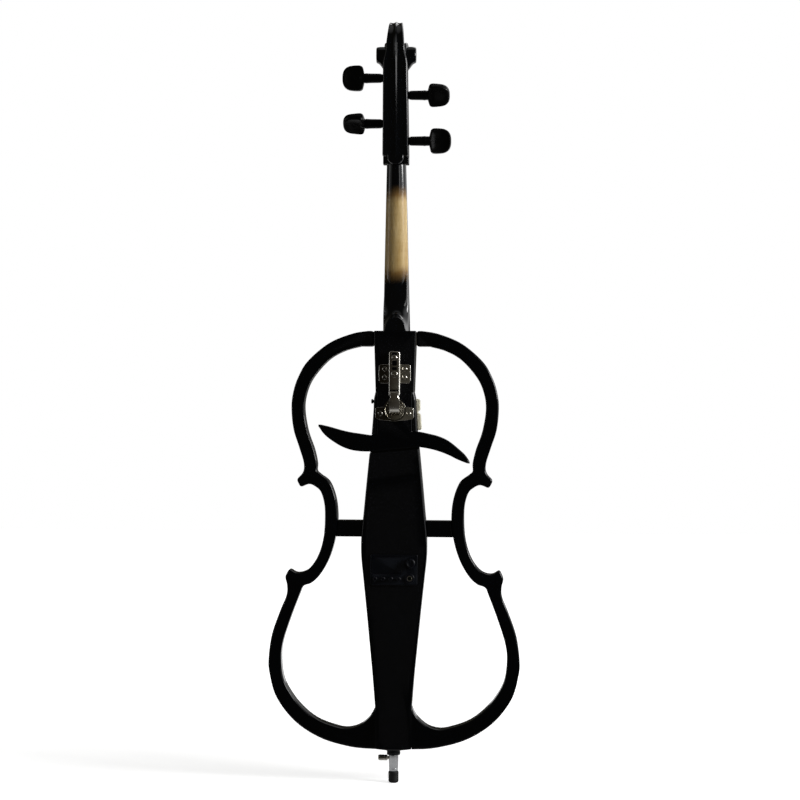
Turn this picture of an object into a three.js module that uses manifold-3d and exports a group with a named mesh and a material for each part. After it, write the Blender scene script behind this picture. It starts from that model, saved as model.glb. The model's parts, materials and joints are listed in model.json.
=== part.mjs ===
// An electric cello with an open frame body, in millimetres.
// +Z runs up the instrument, its back faces -Y, its bass side is +X.
// The origin is the middle of the flat foot under the endpin.
import * as THREE from 'three';
import { mergeVertices } from 'three/addons/utils/BufferGeometryUtils.js';
import Module from 'manifold-3d';

const wasm = await Module();
wasm.setup();

// Driving dimensions of the whole instrument
const endpinExposed = 57;
const bodyLength = 710;
const upperHalf = 176;
const waistHalf = 118;
const lowerHalf = 213;
const stringLength = 690;
const bridgeRise = 306;
const neckPitch = THREE.MathUtils.degToRad(7.2);

// Clearances and cutting overrun
const fit = 0.3;
const running = 0.6;
const overrun = 4;

const bodyBottom = endpinExposed;
const bodyTop = bodyBottom + bodyLength;
const bridgeZ = bodyBottom + bridgeRise;
const nutZ = bridgeZ + stringLength;

// Sizes of the pieces
const spine = { half: 56, thickness: 44, edge: 4, footShare: 0.103 };
const ring = { thickness: 28, edge: 2 };
const crossbar = { lowShare: 0.508, height: 28, thickness: 22, edge: 2 };
const block = { topHalf: 35.7, boardGap: 1.45, edge: 2 };
const board = {
  nutHalf: 16.2, bridgeGap: 105, endHalf: 30, nutThick: 9.5, endThick: 16, arch: 62, nutFront: 12,
};
const neck = {
  side: 3, nutDepth: 18.5, heelDepth: 21, heelRise: 78, heelInset: 3, heelHalf: 21.5, sides: 10,
};
const nut = { length: 6, slot: 0.8 };
const stringSet = {
  nutSpread: 11, bridgeSpread: 23.5, nutLift: 0.1, bridgeLift: 7, windAt: 3.5,
  sides: 6, loops: 2, loopSteps: 24, loopGap: 0.7,
};
const stringRadii = [0.8, 0.65, 0.55, 0.45];
const pegbox = {
  chin: 20, top: 160, half: 23, topHalf: 20, front: 2, leanShare: 0.2, depth: 40, topDepth: 34,
  wallHalf: 12, wallTopHalf: 9.5, floor: 9, channelLow: 12, channelTop: 150, flute: 1.6,
};
const volute = {
  y: -20, rise: 181, radius: 47, rimHalf: 10.8, throatHalf: 17.5, innerHalf: 21.5, flute: 2.4,
  rimTurnShare: 0.25, stops: 8, wedgeSteps: 8,
};
const eye = { radius: 13, tipRadius: 11.5, half: 33.5 };
const peg = {
  shaft: 6.7, tip: 5.6, cheekClear: 0.4, collar: 8, collarAt: 46, collarWide: 5, collarEdge: 1,
  neckRadius: 7.6,
  headAt: 53, headLength: 37, headHalf: 21.3, headThick: 15, headEdge: 3.5, headFlat: 13, arcShare: 0.66,
};
const pegRise = { c: 34, g: 109, d: 137, a: 62.5 };
const rest = {
  stemHalf: 30, thickness: 18, edge: 2.5, barShare: 0.737, ringGap: 5, rise: 37,
  floorClear: 0.8, sideClear: 1, lowClear: 3.4, topClear: 0.4,
};
const hinge = {
  pivotOut: 8, pivotDown: 3, armHalf: 9.5, armWall: 2, armOut: 13, armLength: 77, armTail: 8.8,
  plateHalf: 27, plateThick: 2.5, plateLow: 14, plateHeight: 32, railHalf: 7.2, railOut: 9.5,
  railLow: 9, railHigh: 62, screwX: 17, screwLow: 24, screwHigh: 38, screwRadius: 4, screwShank: 2,
  screwLength: 14, screwHead: 2.2, pinRadius: 1.6, hubRadius: 4, linkHalf: 6.8, slotAt: 59.5, slotRadius: 2.6,
  adjustAt: 31.5, adjustRadius: 5.6, clampHead: 4.6, mouthOpen: 6.4, armScrewLength: 7, driveSlot: 0.5,
  linkThick: 3, linkShoulderShare: 0.75, linkToeShare: 0.1, linkHeelShare: 0.5, linkBackShare: 0.4,
};
const screwCrownShare = 0.6;
const screwBrimShare = 0.45;
const cup = {
  radius: 17.5, wall: 1.2, depth: 12.4, down: 31, flangeHalf: 32.5, flangeHigh: 24, flangeThick: 1.5,
  flangeBelow: 7, earHigh: 15, earIn: 23, screwX: 24, screwBelow: 6, screwShank: 1.6, screwLength: 13,
  screwHead: 3.8, screwHeadHeight: 1.8, rim: 19.3,
};
const panel = {
  half: 40, crossbarGap: 29.18, height: 51, thickness: 3, edge: 0.8, cavityInset: 3, cavityDepth: 19.4,
};
const door = { left: -37.5, width: 51, rise: 19, height: 28, thickness: 2.4, pinRadius: 0.8, pinLength: 1.6 };
const battery = { width: 48.5, height: 26.5, depth: 17.2, edge: 1.5 };
const circuit = { thickness: 1.6, potRadius: 7.5, smallPotRadius: 4, potHeight: 11.4 };
const knob = { x: 28, rise: 37.5, radius: 8, height: 9, shaft: 3, skirt: 1.2 };
const tone = { x: -31.7, pitch: 13.3, rise: 10.5, radius: 3.5, height: 5, shaft: 1.5, skirt: 0.8, count: 4 };
const jack = {
  x: 27, rise: 11.5, flange: 8, flangeThick: 2.4, barrel: 4.7, bore: 3.3, body: 6.5, boreDepth: 16, lip: 0.8,
};
const socket = { flange: 11.5, flangeThick: 5.2, neckRadius: 8.8, plugRadius: 9, plugLength: 54, bore: 7.3 };
const ferrule = { radius: 8.15, tipRadius: 7.5, spigot: 7, spigotLength: 28, bore: 5.5, straight: 7.3 };
const rod = { radius: 5, panelGap: 12.5 };
const foot = { radius: 8.65, height: 19.4, edge: 1.6, wallUnder: 7 };
const thumb = { down: 5.3, thread: 2, headRadius: 5, headLength: 16, neck: 3, shoulder: 2 };
const tail = { low: 33, high: 200, lowHalf: 17, topHalf: 29, thickness: 11, arch: 4, gutX: 9, gutDepth: 14 };
const tuner = {
  spread: 21, slotHalf: 3, leverHalf: 2.4, slotLength: 42, roof: 16, pivot: 24, leverThick: 4,
  pivotRadius: 1.2, pivotHalf: 4.2, swing: 1.6,
};
const tunerScrew = { radius: 1.6, head: 4.4, headHeight: 6, stand: 5, tipGap: 1.2 };
const gut = { radius: 1.2, sides: 6, arcSteps: 10, underBody: 2.7, straight: 4 };
const saddle = { half: 18, height: 10, depth: 8, chamfer: 3 };
const bridge = {
  footHalf: 45, footHeight: 9, footIn: 24, waist: 33, shoulder: 43, thick: 8, topHalf: 29, archTop: 26,
  shoulderShare: 0.62, waistShare: 0.42, heartShare: 0.62, heart: 6, kidneyX: 19, kidney: 6.5,
  archInShare: 0.5, archSideShare: 0.8,
};
const pickup = { half: 44, width: 11, thickness: 2.4, edge: 0.4 };
const packing = {
  reach: 7, lobe: 21, neckDepth: 2.6, spineGap: 11.7, restGap: 2.45, gapHeight: 3, thickness: 20, edge: 1.5,
};
const button = { spineGap: 16.2, radius: 4, length: 5, edge: 1 };

// Materials
function finish(color, roughness, metalness) {
  return new THREE.MeshStandardMaterial({ color, roughness, metalness });
}
const lacquer = finish(0x060607, 0.15, 0);
const ebony = finish(0x0b0a0a, 0.45, 0);
const mapleTint = finish(0xd8b483, 0.35, 0);
const beige = finish(0x8c8468, 0.6, 0);
const nickel = finish(0xc9c7c1, 0.25, 1);
const chromed = finish(0xd4d6d8, 0.12, 1);
const steelWire = finish(0xa9aaad, 0.3, 1);
const blackPlastic = finish(0x101113, 0.4, 0);
const rubberBlack = finish(0x0c0c0c, 0.8, 0);
const boardGreen = finish(0x1d4a2c, 0.5, 0);
const batteryShell = finish(0x2b3038, 0.4, 0.3);
const pickupStrip = finish(0xb58a3a, 0.4, 0.5);

const cello = new THREE.Group();

const mix = (from, to, share) => from + (to - from) * share;

function add(name, geometry, material, parent = cello) {
  const mesh = new THREE.Mesh(geometry, material);
  mesh.name = name;
  parent.add(mesh);
  return mesh;
}

// Closed meshes and solids
function weld(geometry) {
  const bare = geometry.index ? geometry.toNonIndexed() : geometry.clone();
  bare.deleteAttribute('normal');
  bare.deleteAttribute('uv');
  const merged = mergeVertices(bare);
  const index = merged.index.array;
  const kept = [];
  for (let i = 0; i < index.length; i += 3) {
    const [a, b, c] = [index[i], index[i + 1], index[i + 2]];
    if (a !== b && b !== c && c !== a) kept.push(a, b, c);
  }
  merged.setIndex(kept);
  merged.computeVertexNormals();
  return merged;
}

function toSolid(geometry) {
  const welded = weld(geometry);
  const vertProperties = new Float32Array(welded.attributes.position.array);
  const triVerts = new Uint32Array(welded.index.array);
  return new wasm.Manifold(new wasm.Mesh({ numProp: 3, vertProperties, triVerts }));
}

function fromSolid(solid) {
  const mesh = solid.getMesh();
  const geometry = new THREE.BufferGeometry();
  geometry.setAttribute('position', new THREE.BufferAttribute(mesh.vertProperties, 3));
  geometry.setIndex(new THREE.BufferAttribute(mesh.triVerts, 1));
  geometry.computeVertexNormals();
  return geometry;
}

function join(first, ...others) {
  const solids = others.map(toSolid);
  return fromSolid(solids.reduce((sum, solid) => sum.add(solid), toSolid(first)));
}

function cut(first, ...tools) {
  const solids = tools.map(toSolid);
  return fromSolid(solids.reduce((left, solid) => left.subtract(solid), toSolid(first)));
}

// A shape drawn in X and Z, thick from backY to frontY, with chamfered edges
function plate(shape, backY, frontY, edge = 0, curveSegments = 2) {
  const geometry = new THREE.ExtrudeGeometry(shape, {
    depth: frontY - backY - 2 * edge,
    bevelEnabled: edge > 0,
    bevelThickness: edge,
    bevelSize: edge,
    bevelOffset: -edge,
    bevelSegments: 1,
    curveSegments,
  });
  geometry.rotateX(Math.PI / 2);
  geometry.translate(0, frontY - edge, 0);
  return weld(geometry);
}

// A shape drawn in X and Y, thick from lowZ to highZ
function slab(shape, lowZ, highZ, edge = 0, curveSegments = 2) {
  const geometry = plate(shape, 0, highZ - lowZ, edge, curveSegments);
  geometry.rotateX(-Math.PI / 2);
  geometry.translate(0, 0, highZ);
  return geometry;
}

// A shape drawn in Y and Z, thick to each side of X = 0
function sideSlab(shape, half, edge = 0, curveSegments = 4) {
  const geometry = slab(shape, -half, half, edge, curveSegments);
  const order = new THREE.Matrix4().makeBasis(
    new THREE.Vector3(0, 1, 0), new THREE.Vector3(0, 0, 1), new THREE.Vector3(1, 0, 0),
  );
  return geometry.applyMatrix4(order);
}

function box(low, high, edge = 0) {
  const shape = new THREE.Shape([
    new THREE.Vector2(low[0], low[2]), new THREE.Vector2(high[0], low[2]),
    new THREE.Vector2(high[0], high[2]), new THREE.Vector2(low[0], high[2]),
  ]);
  return plate(shape, low[1], high[1], edge);
}

function polygon(points) {
  return new THREE.Shape(points.map(([x, y]) => new THREE.Vector2(x, y)));
}

function disc(x, y, radius) {
  const shape = new THREE.Shape();
  shape.absarc(x, y, radius, 0, 2 * Math.PI, false);
  return shape;
}

// A body turned about an axis; profile holds [radius, place along the axis]
const axisTurns = {
  x: (geometry) => geometry.rotateZ(-Math.PI / 2),
  y: (geometry) => geometry,
  z: (geometry) => geometry.rotateX(Math.PI / 2),
};
function turned(profile, axis, sides = 14) {
  const points = profile.map(([radius, along]) => new THREE.Vector2(radius, along));
  return weld(axisTurns[axis](new THREE.LatheGeometry(points, sides)));
}

function pin(radius, from, to, axis, sides = 12) {
  return turned([[0, from], [radius, from], [radius, to], [0, to]], axis, sides);
}

// A closed skin over rings of points, each ring closed by a fan about its middle
function skin(rings) {
  const count = rings[0].length;
  const positions = rings.flat().flatMap((point) => [point.x, point.y, point.z]);
  const index = [];
  for (let i = 0; i + 1 < rings.length; i++) {
    for (let j = 0; j < count; j++) {
      const a = i * count + j;
      const b = i * count + (j + 1) % count;
      index.push(a, b, b + count, a, b + count, a + count);
    }
  }
  const last = rings.length - 1;
  const ends = [[rings[0], 0, 1], [rings[last], last * count, 0]];
  for (const [end, start, flip] of ends) {
    const middle = end.reduce((sum, point) => sum.add(point), new THREE.Vector3()).divideScalar(count);
    const centre = positions.length / 3;
    positions.push(middle.x, middle.y, middle.z);
    for (let j = 0; j < count; j++) {
      const pair = [start + j, start + (j + 1) % count];
      if (flip) pair.reverse();
      index.push(pair[0], pair[1], centre);
    }
  }
  return outward(positions, index);
}

function outward(positions, index) {
  let volume = 0;
  const corner = (i) => new THREE.Vector3().fromArray(positions, 3 * i);
  for (let i = 0; i < index.length; i += 3) {
    volume += corner(index[i]).dot(corner(index[i + 1]).cross(corner(index[i + 2])));
  }
  if (volume < 0) index.reverse();
  const geometry = new THREE.BufferGeometry();
  geometry.setAttribute('position', new THREE.Float32BufferAttribute(positions, 3));
  geometry.setIndex(index);
  geometry.computeVertexNormals();
  return geometry;
}

// A round tube through points, its rings carried along without twist
function tube(points, radius, sides) {
  const rings = [];
  let side = new THREE.Vector3(1, 0, 0);
  points.forEach((point, i) => {
    const before = points[Math.max(i - 1, 0)];
    const after = points[Math.min(i + 1, points.length - 1)];
    const inward = point.clone().sub(before).normalize();
    const outgoing = after.clone().sub(point).normalize();
    const along = inward.clone().add(outgoing).normalize();
    side = side.clone().sub(along.clone().multiplyScalar(side.dot(along))).normalize();
    const up = along.clone().cross(side);
    const turn = Array.from({ length: sides }, (_, k) => (2 * Math.PI * k) / sides);
    rings.push(turn.map((angle) => point.clone()
      .addScaledVector(side, radius * Math.cos(angle))
      .addScaledVector(up, radius * Math.sin(angle))));
  });
  return skin(rings);
}

// Half width of the spine, as [share of its largest half width, share of the body length]
const spineShares = [
  [0.55, 0.103], [0.632, 0.179], [0.727, 0.256], [0.821, 0.332], [0.925, 0.41], [0.985, 0.455], [1, 0.486],
  [0.985, 0.52], [0.929, 0.562], [0.862, 0.62], [0.768, 0.697], [0.693, 0.754], [0.64, 0.811], [0.632, 0.835],
  [0.58, 0.8545],
];

function outlinePoints(shares, across) {
  return shares.map(([share, up]) => new THREE.Vector2(across(share), bodyBottom + up * bodyLength));
}
const spineEdge = outlinePoints(spineShares, (share) => share * spine.half);
const spineFoot = spineEdge[0];
const spineTopCorner = spineEdge[spineEdge.length - 1];
const spineTop = spineTopCorner.y;
const blockLow = spineTop + fit;

function spineShape() {
  const left = spineEdge.map((point) => new THREE.Vector2(-point.x, point.y)).reverse();
  const shape = new THREE.Shape();
  shape.moveTo(-spineFoot.x, bodyBottom);
  shape.lineTo(spineFoot.x, bodyBottom);
  shape.lineTo(spineFoot.x, spineFoot.y);
  shape.splineThru(spineEdge.slice(1));
  shape.lineTo(left[0].x, left[0].y);
  shape.splineThru(left.slice(1));
  return shape;
}

// Where an outline crosses a height
function acrossAt(points, z) {
  const i = points.findIndex((point, k) => k > 0 && (points[k - 1].y - z) * (point.y - z) <= 0);
  const [from, to] = [points[i - 1], points[i]];
  return from.x + ((to.x - from.x) * (z - from.y)) / (to.y - from.y);
}
const spineCurve = new THREE.SplineCurve(spineEdge).getPoints(4 * spineEdge.length);
const spineHalfAt = (z) => acrossAt(spineCurve, z);

// Frame halves, as [share across, share of the body length]. On the bouts the first share runs out from the
// spine's foot or the block's top to the bout's half width. On the waist it is of the waist's half width up
// to 1, and what is over 1 is of the step from the waist out to the bout.
const outerLowerShares = [
  [0.225, 0.006], [0.505, 0.026], [0.747, 0.065], [0.923, 0.122], [0.991, 0.18], [1, 0.218], [0.968, 0.275],
  [0.89, 0.332], [0.836, 0.366], [0.83, 0.39], [0.851, 0.411],
];
const outerWaistLowShares = [
  [1.636, 0.431], [1.497, 0.421], [1.323, 0.427], [1.179, 0.448], [1.075, 0.478], [1.015, 0.515], [1, 0.555],
];
const outerWaistHighShares = [[1.024, 0.587], [1.122, 0.614], [1.264, 0.626], [1.468, 0.633], [1.72, 0.625]];
const outerUpperShares = [
  [0.935, 0.644], [0.855, 0.662], [0.849, 0.685], [0.906, 0.722], [0.975, 0.765], [1, 0.815], [0.98, 0.853],
  [0.918, 0.89], [0.801, 0.928], [0.55, 0.97], [0.271, 0.993], [0.07, 1],
];
const innerUpperShares = [
  [0.158, 0.963], [0.358, 0.952], [0.55, 0.93], [0.736, 0.888], [0.82, 0.85], [0.842, 0.811], [0.799, 0.76],
  [0.723, 0.717], [0.686, 0.685], [0.686, 0.666],
];
const innerWaistHighShares = [[1.138, 0.657], [0.936, 0.639], [0.85, 0.603], [0.818, 0.563]];
const innerWaistLowShares = [
  [0.828, 0.525], [0.873, 0.486], [0.955, 0.448], [1.093, 0.415], [1.236, 0.397], [1.379, 0.389],
];
const innerLowerShares = [
  [0.71, 0.37], [0.793, 0.314], [0.865, 0.256], [0.881, 0.214], [0.854, 0.165], [0.766, 0.124],
  [0.649, 0.091], [0.526, 0.069], [0.376, 0.055], [0.263, 0.05], [0.152, 0.057], [0.063, 0.075], [0.022, 0.09],
];

const frameFootX = spineFoot.x + fit;
const frameTopX = block.topHalf + fit;
const onLower = (share) => mix(frameFootX, lowerHalf, share);
const onUpper = (share) => mix(frameTopX, upperHalf, share);
const onWaist = (boutHalf) => (share) => (
  share <= 1 ? share * waistHalf : mix(waistHalf, boutHalf, share - 1)
);
const outerLower = outlinePoints(outerLowerShares, onLower);
const outerUpper = outlinePoints(outerUpperShares, onUpper);
const innerUpper = outlinePoints(innerUpperShares, onUpper);
const innerLower = outlinePoints(innerLowerShares, onLower);
const outerWaist = [
  ...outlinePoints(outerWaistLowShares, onWaist(lowerHalf)),
  ...outlinePoints(outerWaistHighShares, onWaist(upperHalf)),
];
const innerWaist = [
  ...outlinePoints(innerWaistHighShares, onWaist(upperHalf)),
  ...outlinePoints(innerWaistLowShares, onWaist(lowerHalf)),
];

function frameShape(side) {
  const shape = new THREE.Shape();
  const at = (point) => new THREE.Vector2(side * point.x, point.y);
  const lineTo = (point) => shape.lineTo(side * point.x, point.y);
  shape.moveTo(side * frameFootX, bodyBottom);
  shape.splineThru(outerLower.map(at));
  lineTo(outerWaist[0]);
  shape.splineThru(outerWaist.slice(1).map(at));
  lineTo(outerUpper[0]);
  shape.splineThru(outerUpper.slice(1).map(at));
  shape.lineTo(side * frameTopX, bodyTop);
  shape.lineTo(side * frameTopX, innerUpper[0].y);
  shape.splineThru(innerUpper.map(at));
  shape.splineThru(innerWaist.map(at));
  shape.splineThru(innerLower.map(at));
  shape.lineTo(side * frameFootX, bodyBottom + spine.footShare * bodyLength);
  return shape;
}

for (const [side, name] of [[-1, 'frame_left'], [1, 'frame_right']]) {
  add(name, plate(frameShape(side), -ring.thickness / 2, ring.thickness / 2, ring.edge), lacquer);
}

const crossbarLow = bodyBottom + crossbar.lowShare * bodyLength;
const crossbarStepShares = [0, 0.5, 1];
const innerWaistCurve = new THREE.SplineCurve(innerWaist).getPoints(6 * innerWaist.length);
for (const [side, name] of [[-1, 'crossbar_left'], [1, 'crossbar_right']]) {
  const steps = crossbarStepShares.map((share) => crossbarLow + share * crossbar.height);
  const inside = steps.map((z) => [side * (spineHalfAt(z) + fit), z]);
  const outside = steps.map((z) => [side * (acrossAt(innerWaistCurve, z) - running), z]).reverse();
  const half = crossbar.thickness / 2;
  add(name, plate(polygon([...inside, ...outside]), -half, half, crossbar.edge), lacquer);
}

// Spine, with the pocket for the chest rest, the cavity for the electronics and the bore for the endpin
const backY = -spine.thickness / 2;
const frontY = spine.thickness / 2;
const pivot = { y: backY - hinge.pivotOut, z: blockLow - hinge.pivotDown };
const barZ = bodyBottom + rest.barShare * bodyLength;
const innerUpperCurve = new THREE.SplineCurve(innerUpper).getPoints(6 * innerUpper.length);
const restReach = acrossAt(innerUpperCurve, barZ - rest.rise) - rest.ringGap;
const panelLow = crossbarLow - panel.crossbarGap - panel.height;
const rodTop = panelLow - rod.panelGap;
const plugTop = bodyBottom + socket.plugLength;
const cavityFloor = backY + panel.cavityDepth;
const cavityHalf = panel.half - panel.cavityInset;

// Upper edge of the right wing of the S, then its lower one, as shares of its reach and of its fall at the tip
const wingTopShares = [[0.33, 0.44], [0.46, 0.345], [0.59, 0.23], [0.72, 0.02], [0.86, -0.36], [0.95, -0.66]];
const wingLowShares = [[0.86, -0.85], [0.72, -0.62], [0.59, -0.45], [0.46, -0.335], [0.33, -0.26]];
// The left wing rises less: its lower edge, its tip and its upper edge
const leftLowShares = [[0.33, -0.48], [0.46, -0.47], [0.59, -0.4], [0.72, -0.23], [0.86, 0.07], [0.95, 0.34]];
const leftTipShare = [1.02, 0.68];
const leftTopShares = [[0.86, 0.62], [0.72, 0.46], [0.59, 0.36], [0.46, 0.32], [0.33, 0.27]];

function barShape(above, below, beyond) {
  const place = ([across, up], sign, lift) => new THREE.Vector2(
    sign * across * (restReach + beyond), barZ + up * rest.rise + lift,
  );
  const right = [
    ...wingTopShares.map((share) => place(share, 1, above)),
    place([1, -1], 1, 0),
    ...wingLowShares.map((share) => place(share, 1, -below)),
  ];
  const left = [
    ...leftLowShares.map((share) => place(share, -1, -below)),
    place(leftTipShare, -1, 0),
    ...leftTopShares.map((share) => place(share, -1, above)),
  ];
  const shape = new THREE.Shape();
  shape.moveTo(right[0].x, right[0].y);
  shape.splineThru(right.slice(1));
  shape.lineTo(left[0].x, left[0].y);
  shape.splineThru(left.slice(1));
  return shape;
}

function restSolid(side, above, below, top, back, front, edge) {
  const bar = plate(barShape(above, below, side), back, front, edge);
  const half = rest.stemHalf + side;
  const stem = box([-half, back, barZ], [half, front, top], edge);
  return join(bar, stem);
}
const restFront = backY + rest.thickness;
const restTop = spineTop - rest.topClear;
const pocket = restSolid(
  rest.sideClear, rest.sideClear, rest.lowClear, spineTop + overrun, backY - overrun,
  restFront + rest.floorClear, 0,
);
const cavity = box(
  [-cavityHalf, backY - overrun, panelLow + panel.cavityInset],
  [cavityHalf, cavityFloor, panelLow + panel.height - panel.cavityInset],
);
const endpinBore = pin(rod.radius + running, bodyBottom, rodTop + overrun, 'z');
const plugBore = pin(socket.plugRadius + fit, bodyBottom - overrun, plugTop, 'z');
const spineBody = plate(spineShape(), backY, frontY, spine.edge);
add('spine', cut(spineBody, pocket, cavity, endpinBore, plugBore), lacquer);

// Fingerboard: its arched upper face falls away from the body towards the nut
const boardLength = stringLength - board.bridgeGap;
const boardEndZ = nutZ - boardLength;
const boardFront = (z) => board.nutFront + (nutZ - z) * Math.tan(neckPitch);
const boardShareAt = (z) => (nutZ - z) / boardLength;
const boardHalfAt = (z) => mix(board.nutHalf, board.endHalf, boardShareAt(z));
const boardThickAt = (z) => mix(board.nutThick, board.endThick, boardShareAt(z));
const boardBackAt = (z) => boardFront(z) - boardThickAt(z);
const archDrop = (x) => (x * x) / (2 * board.arch);
const boardArchShares = [1, 0.66, 0.33, 0, -0.33, -0.66, -1];

function boardRing(z) {
  const half = boardHalfAt(z);
  const arch = boardArchShares.map((share) => share * half);
  const top = arch.map((x) => new THREE.Vector3(x, boardFront(z) - archDrop(x), z));
  const back = boardBackAt(z);
  return [...top, new THREE.Vector3(-half, back, z), new THREE.Vector3(half, back, z)];
}
add('fingerboard', skin([boardRing(boardEndZ), boardRing(nutZ - fit)]), ebony);

// Neck block: it carries on the line of the spine, and stands clear of the fingerboard over it
const blockShape = polygon([
  [-spineTopCorner.x, blockLow], [spineTopCorner.x, blockLow],
  [block.topHalf, bodyTop], [-block.topHalf, bodyTop],
]);
const blockFront = boardBackAt(bodyTop) - block.boardGap;
const plateScrewPlaces = [
  ['lower_left', -1, hinge.screwLow], ['lower_right', 1, hinge.screwLow],
  ['upper_left', -1, hinge.screwHigh], ['upper_right', 1, hinge.screwHigh],
];
const blockHoles = plateScrewPlaces.map(([, side, up]) => pin(
  hinge.screwShank + fit, backY - overrun, backY + hinge.screwLength + fit, 'y', 8,
).translate(side * hinge.screwX, 0, blockLow + up));
add('neck_block', cut(plate(blockShape, backY, blockFront, block.edge), ...blockHoles), lacquer);

// Nut, and the neck with the heel that swells down to the top of the block
const nutShares = [1, 0.5, 0, -0.5, -1];
function nutShape() {
  const half = board.nutHalf;
  const top = nutShares.map((share) => share * half);
  const front = top.map((x) => [x, boardFront(nutZ) + nut.slot - archDrop(x)]);
  return polygon([...front, [-half, boardBackAt(nutZ)], [half, boardBackAt(nutZ)]]);
}
add('nut', slab(nutShape(), nutZ, nutZ + nut.length), ebony);

const neckTopZ = nutZ + nut.length;
const neckFrontAt = (z) => boardBackAt(Math.min(z, nutZ)) - fit;
function neckDepthAt(z) {
  const lower = mix(neck.heelDepth, neck.nutDepth, (z - bodyTop) / (neckTopZ - bodyTop));
  const share = Math.max(0, 1 - (z - bodyTop) / neck.heelRise);
  const heel = neckFrontAt(bodyTop) - backY - neck.heelInset;
  return mix(lower, heel, share ** 3);
}
function neckRing(z) {
  const half = Math.min(boardHalfAt(Math.min(z, nutZ)), neck.heelHalf);
  const front = neckFrontAt(z);
  const depth = neckDepthAt(z) - neck.side;
  const back = Array.from({ length: neck.sides + 1 }, (_, k) => (Math.PI * k) / neck.sides);
  const round = back.map((angle) => new THREE.Vector3(
    half * Math.cos(angle), front - neck.side - depth * Math.sin(angle), z,
  ));
  return [new THREE.Vector3(half, front, z), ...round, new THREE.Vector3(-half, front, z)];
}
const heelShares = [0, 0.1, 0.2, 0.32, 0.46, 0.64, 1];
const neckStations = [...heelShares.map((share) => bodyTop + fit + share * neck.heelRise), nutZ, neckTopZ];

// Pegbox: a tapering trough with a rounded chin and two flutes down its back
const pegboxFront = (rise) => pegbox.front - pegbox.leanShare * Math.max(rise, 0);
const chinShares = [[-0.4, 0.66, 0.35], [-0.15, 0.76, 0.62], [0.3, 0.9, 0.86], [1, 1, 1]];
function pegboxHalfAt(rise) {
  return mix(pegbox.half, pegbox.topHalf, Math.max(0, rise - pegbox.chin) / (pegbox.top - pegbox.chin));
}
function pegboxBackAt(rise) {
  return pegboxFront(rise) - mix(pegbox.depth, pegbox.topDepth, Math.max(rise, 0) / pegbox.top);
}
const fluteShares = [[1, 0.12], [0.84, 0], [0.46, 1], [0.1, 0]];
function pegboxRing(rise, halfShare, depthShare) {
  const half = pegboxHalfAt(rise) * halfShare;
  const front = pegboxFront(rise);
  const back = mix(front, pegboxBackAt(rise), depthShare);
  const z = nutZ + rise;
  const flute = fluteShares.map(([across, dip], k) => new THREE.Vector3(
    across * half, k ? back + dip * pegbox.flute : mix(back, front, dip), z,
  ));
  const mirrored = flute.map((p) => new THREE.Vector3(-p.x, p.y, p.z)).reverse();
  return [new THREE.Vector3(half, front, z), ...flute, ...mirrored, new THREE.Vector3(-half, front, z)];
}
const pegboxRings = [
  ...chinShares.map(([up, halfShare, depthShare]) => pegboxRing(up * pegbox.chin, halfShare, depthShare)),
  pegboxRing(pegbox.top, 1, 1),
];

// Scroll: each half turn is a wedge about the eye, its rim fluted, drawn in as it winds
const scrollZ = nutZ + volute.rise;
const voluteShares = [
  0.86, 1.01, 1.15, 1.06, 0.86, 0.69, 0.58, 0.54, 0.5, 0.46, 0.42, 0.38, 0.34, 0.3, 0.27, 0.25, 0.24,
];
const rimShares = [[1, 1], [0.8, 0], [0.44, 1], [0, 0], [-0.44, 1], [-0.8, 0], [-1, 1]];
function voluteRadiusAt(turn) {
  const place = turn * volute.stops;
  const i = Math.min(Math.floor(place), voluteShares.length - 2);
  return volute.radius * mix(voluteShares[i], voluteShares[i + 1], place - i);
}
function voluteHalfAt(turn) {
  const { rimTurnShare, throatHalf, rimHalf } = volute;
  if (turn < rimTurnShare) return mix(throatHalf, rimHalf, turn / rimTurnShare);
  if (turn < 1) return mix(rimHalf, throatHalf, (turn - rimTurnShare) / (1 - rimTurnShare));
  return mix(volute.innerHalf, volute.innerHalf + volute.flute, turn - 1);
}
function voluteWedge(from, to) {
  const steps = volute.wedgeSteps;
  const positions = [volute.innerHalf, volute.y, scrollZ, -volute.innerHalf, volute.y, scrollZ];
  const index = [];
  const rib = (i, j) => 2 + i * rimShares.length + j;
  for (let i = 0; i <= steps; i++) {
    const turn = mix(from, to, i / steps);
    const angle = Math.PI - 2 * Math.PI * turn;
    for (const [share, dip] of rimShares) {
      const radius = voluteRadiusAt(turn) - dip * volute.flute;
      positions.push(
        share * voluteHalfAt(turn), volute.y + radius * Math.cos(angle), scrollZ + radius * Math.sin(angle),
      );
    }
  }
  const last = rimShares.length - 1;
  for (let i = 0; i < steps; i++) {
    index.push(0, rib(i, 0), rib(i + 1, 0), rib(i, last), 1, rib(i + 1, last));
    for (let j = 0; j < last; j++) {
      index.push(rib(i, j), rib(i, j + 1), rib(i + 1, j + 1), rib(i, j), rib(i + 1, j + 1), rib(i + 1, j));
    }
  }
  for (const [i, flip] of [[0, false], [steps, true]]) {
    const fan = [0, 1, ...rimShares.map((_, j) => rib(i, last - j))];
    for (let k = 1; k + 1 < fan.length; k++) {
      const face = [fan[0], fan[k], fan[k + 1]];
      index.push(...(flip ? face.reverse() : face));
    }
  }
  return outward(positions, index);
}
const wedgeTurnShares = [[0, 0.52], [0.5, 1.02], [1, 1.52], [1.5, 2]];
const wedges = wedgeTurnShares.map(([from, to]) => voluteWedge(from, to));
const eyeBoss = turned([
  [0, -eye.half], [eye.tipRadius, -eye.half], [eye.radius, -volute.innerHalf],
  [eye.radius, volute.innerHalf], [eye.tipRadius, eye.half], [0, eye.half],
], 'x').translate(0, volute.y, scrollZ);

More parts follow.
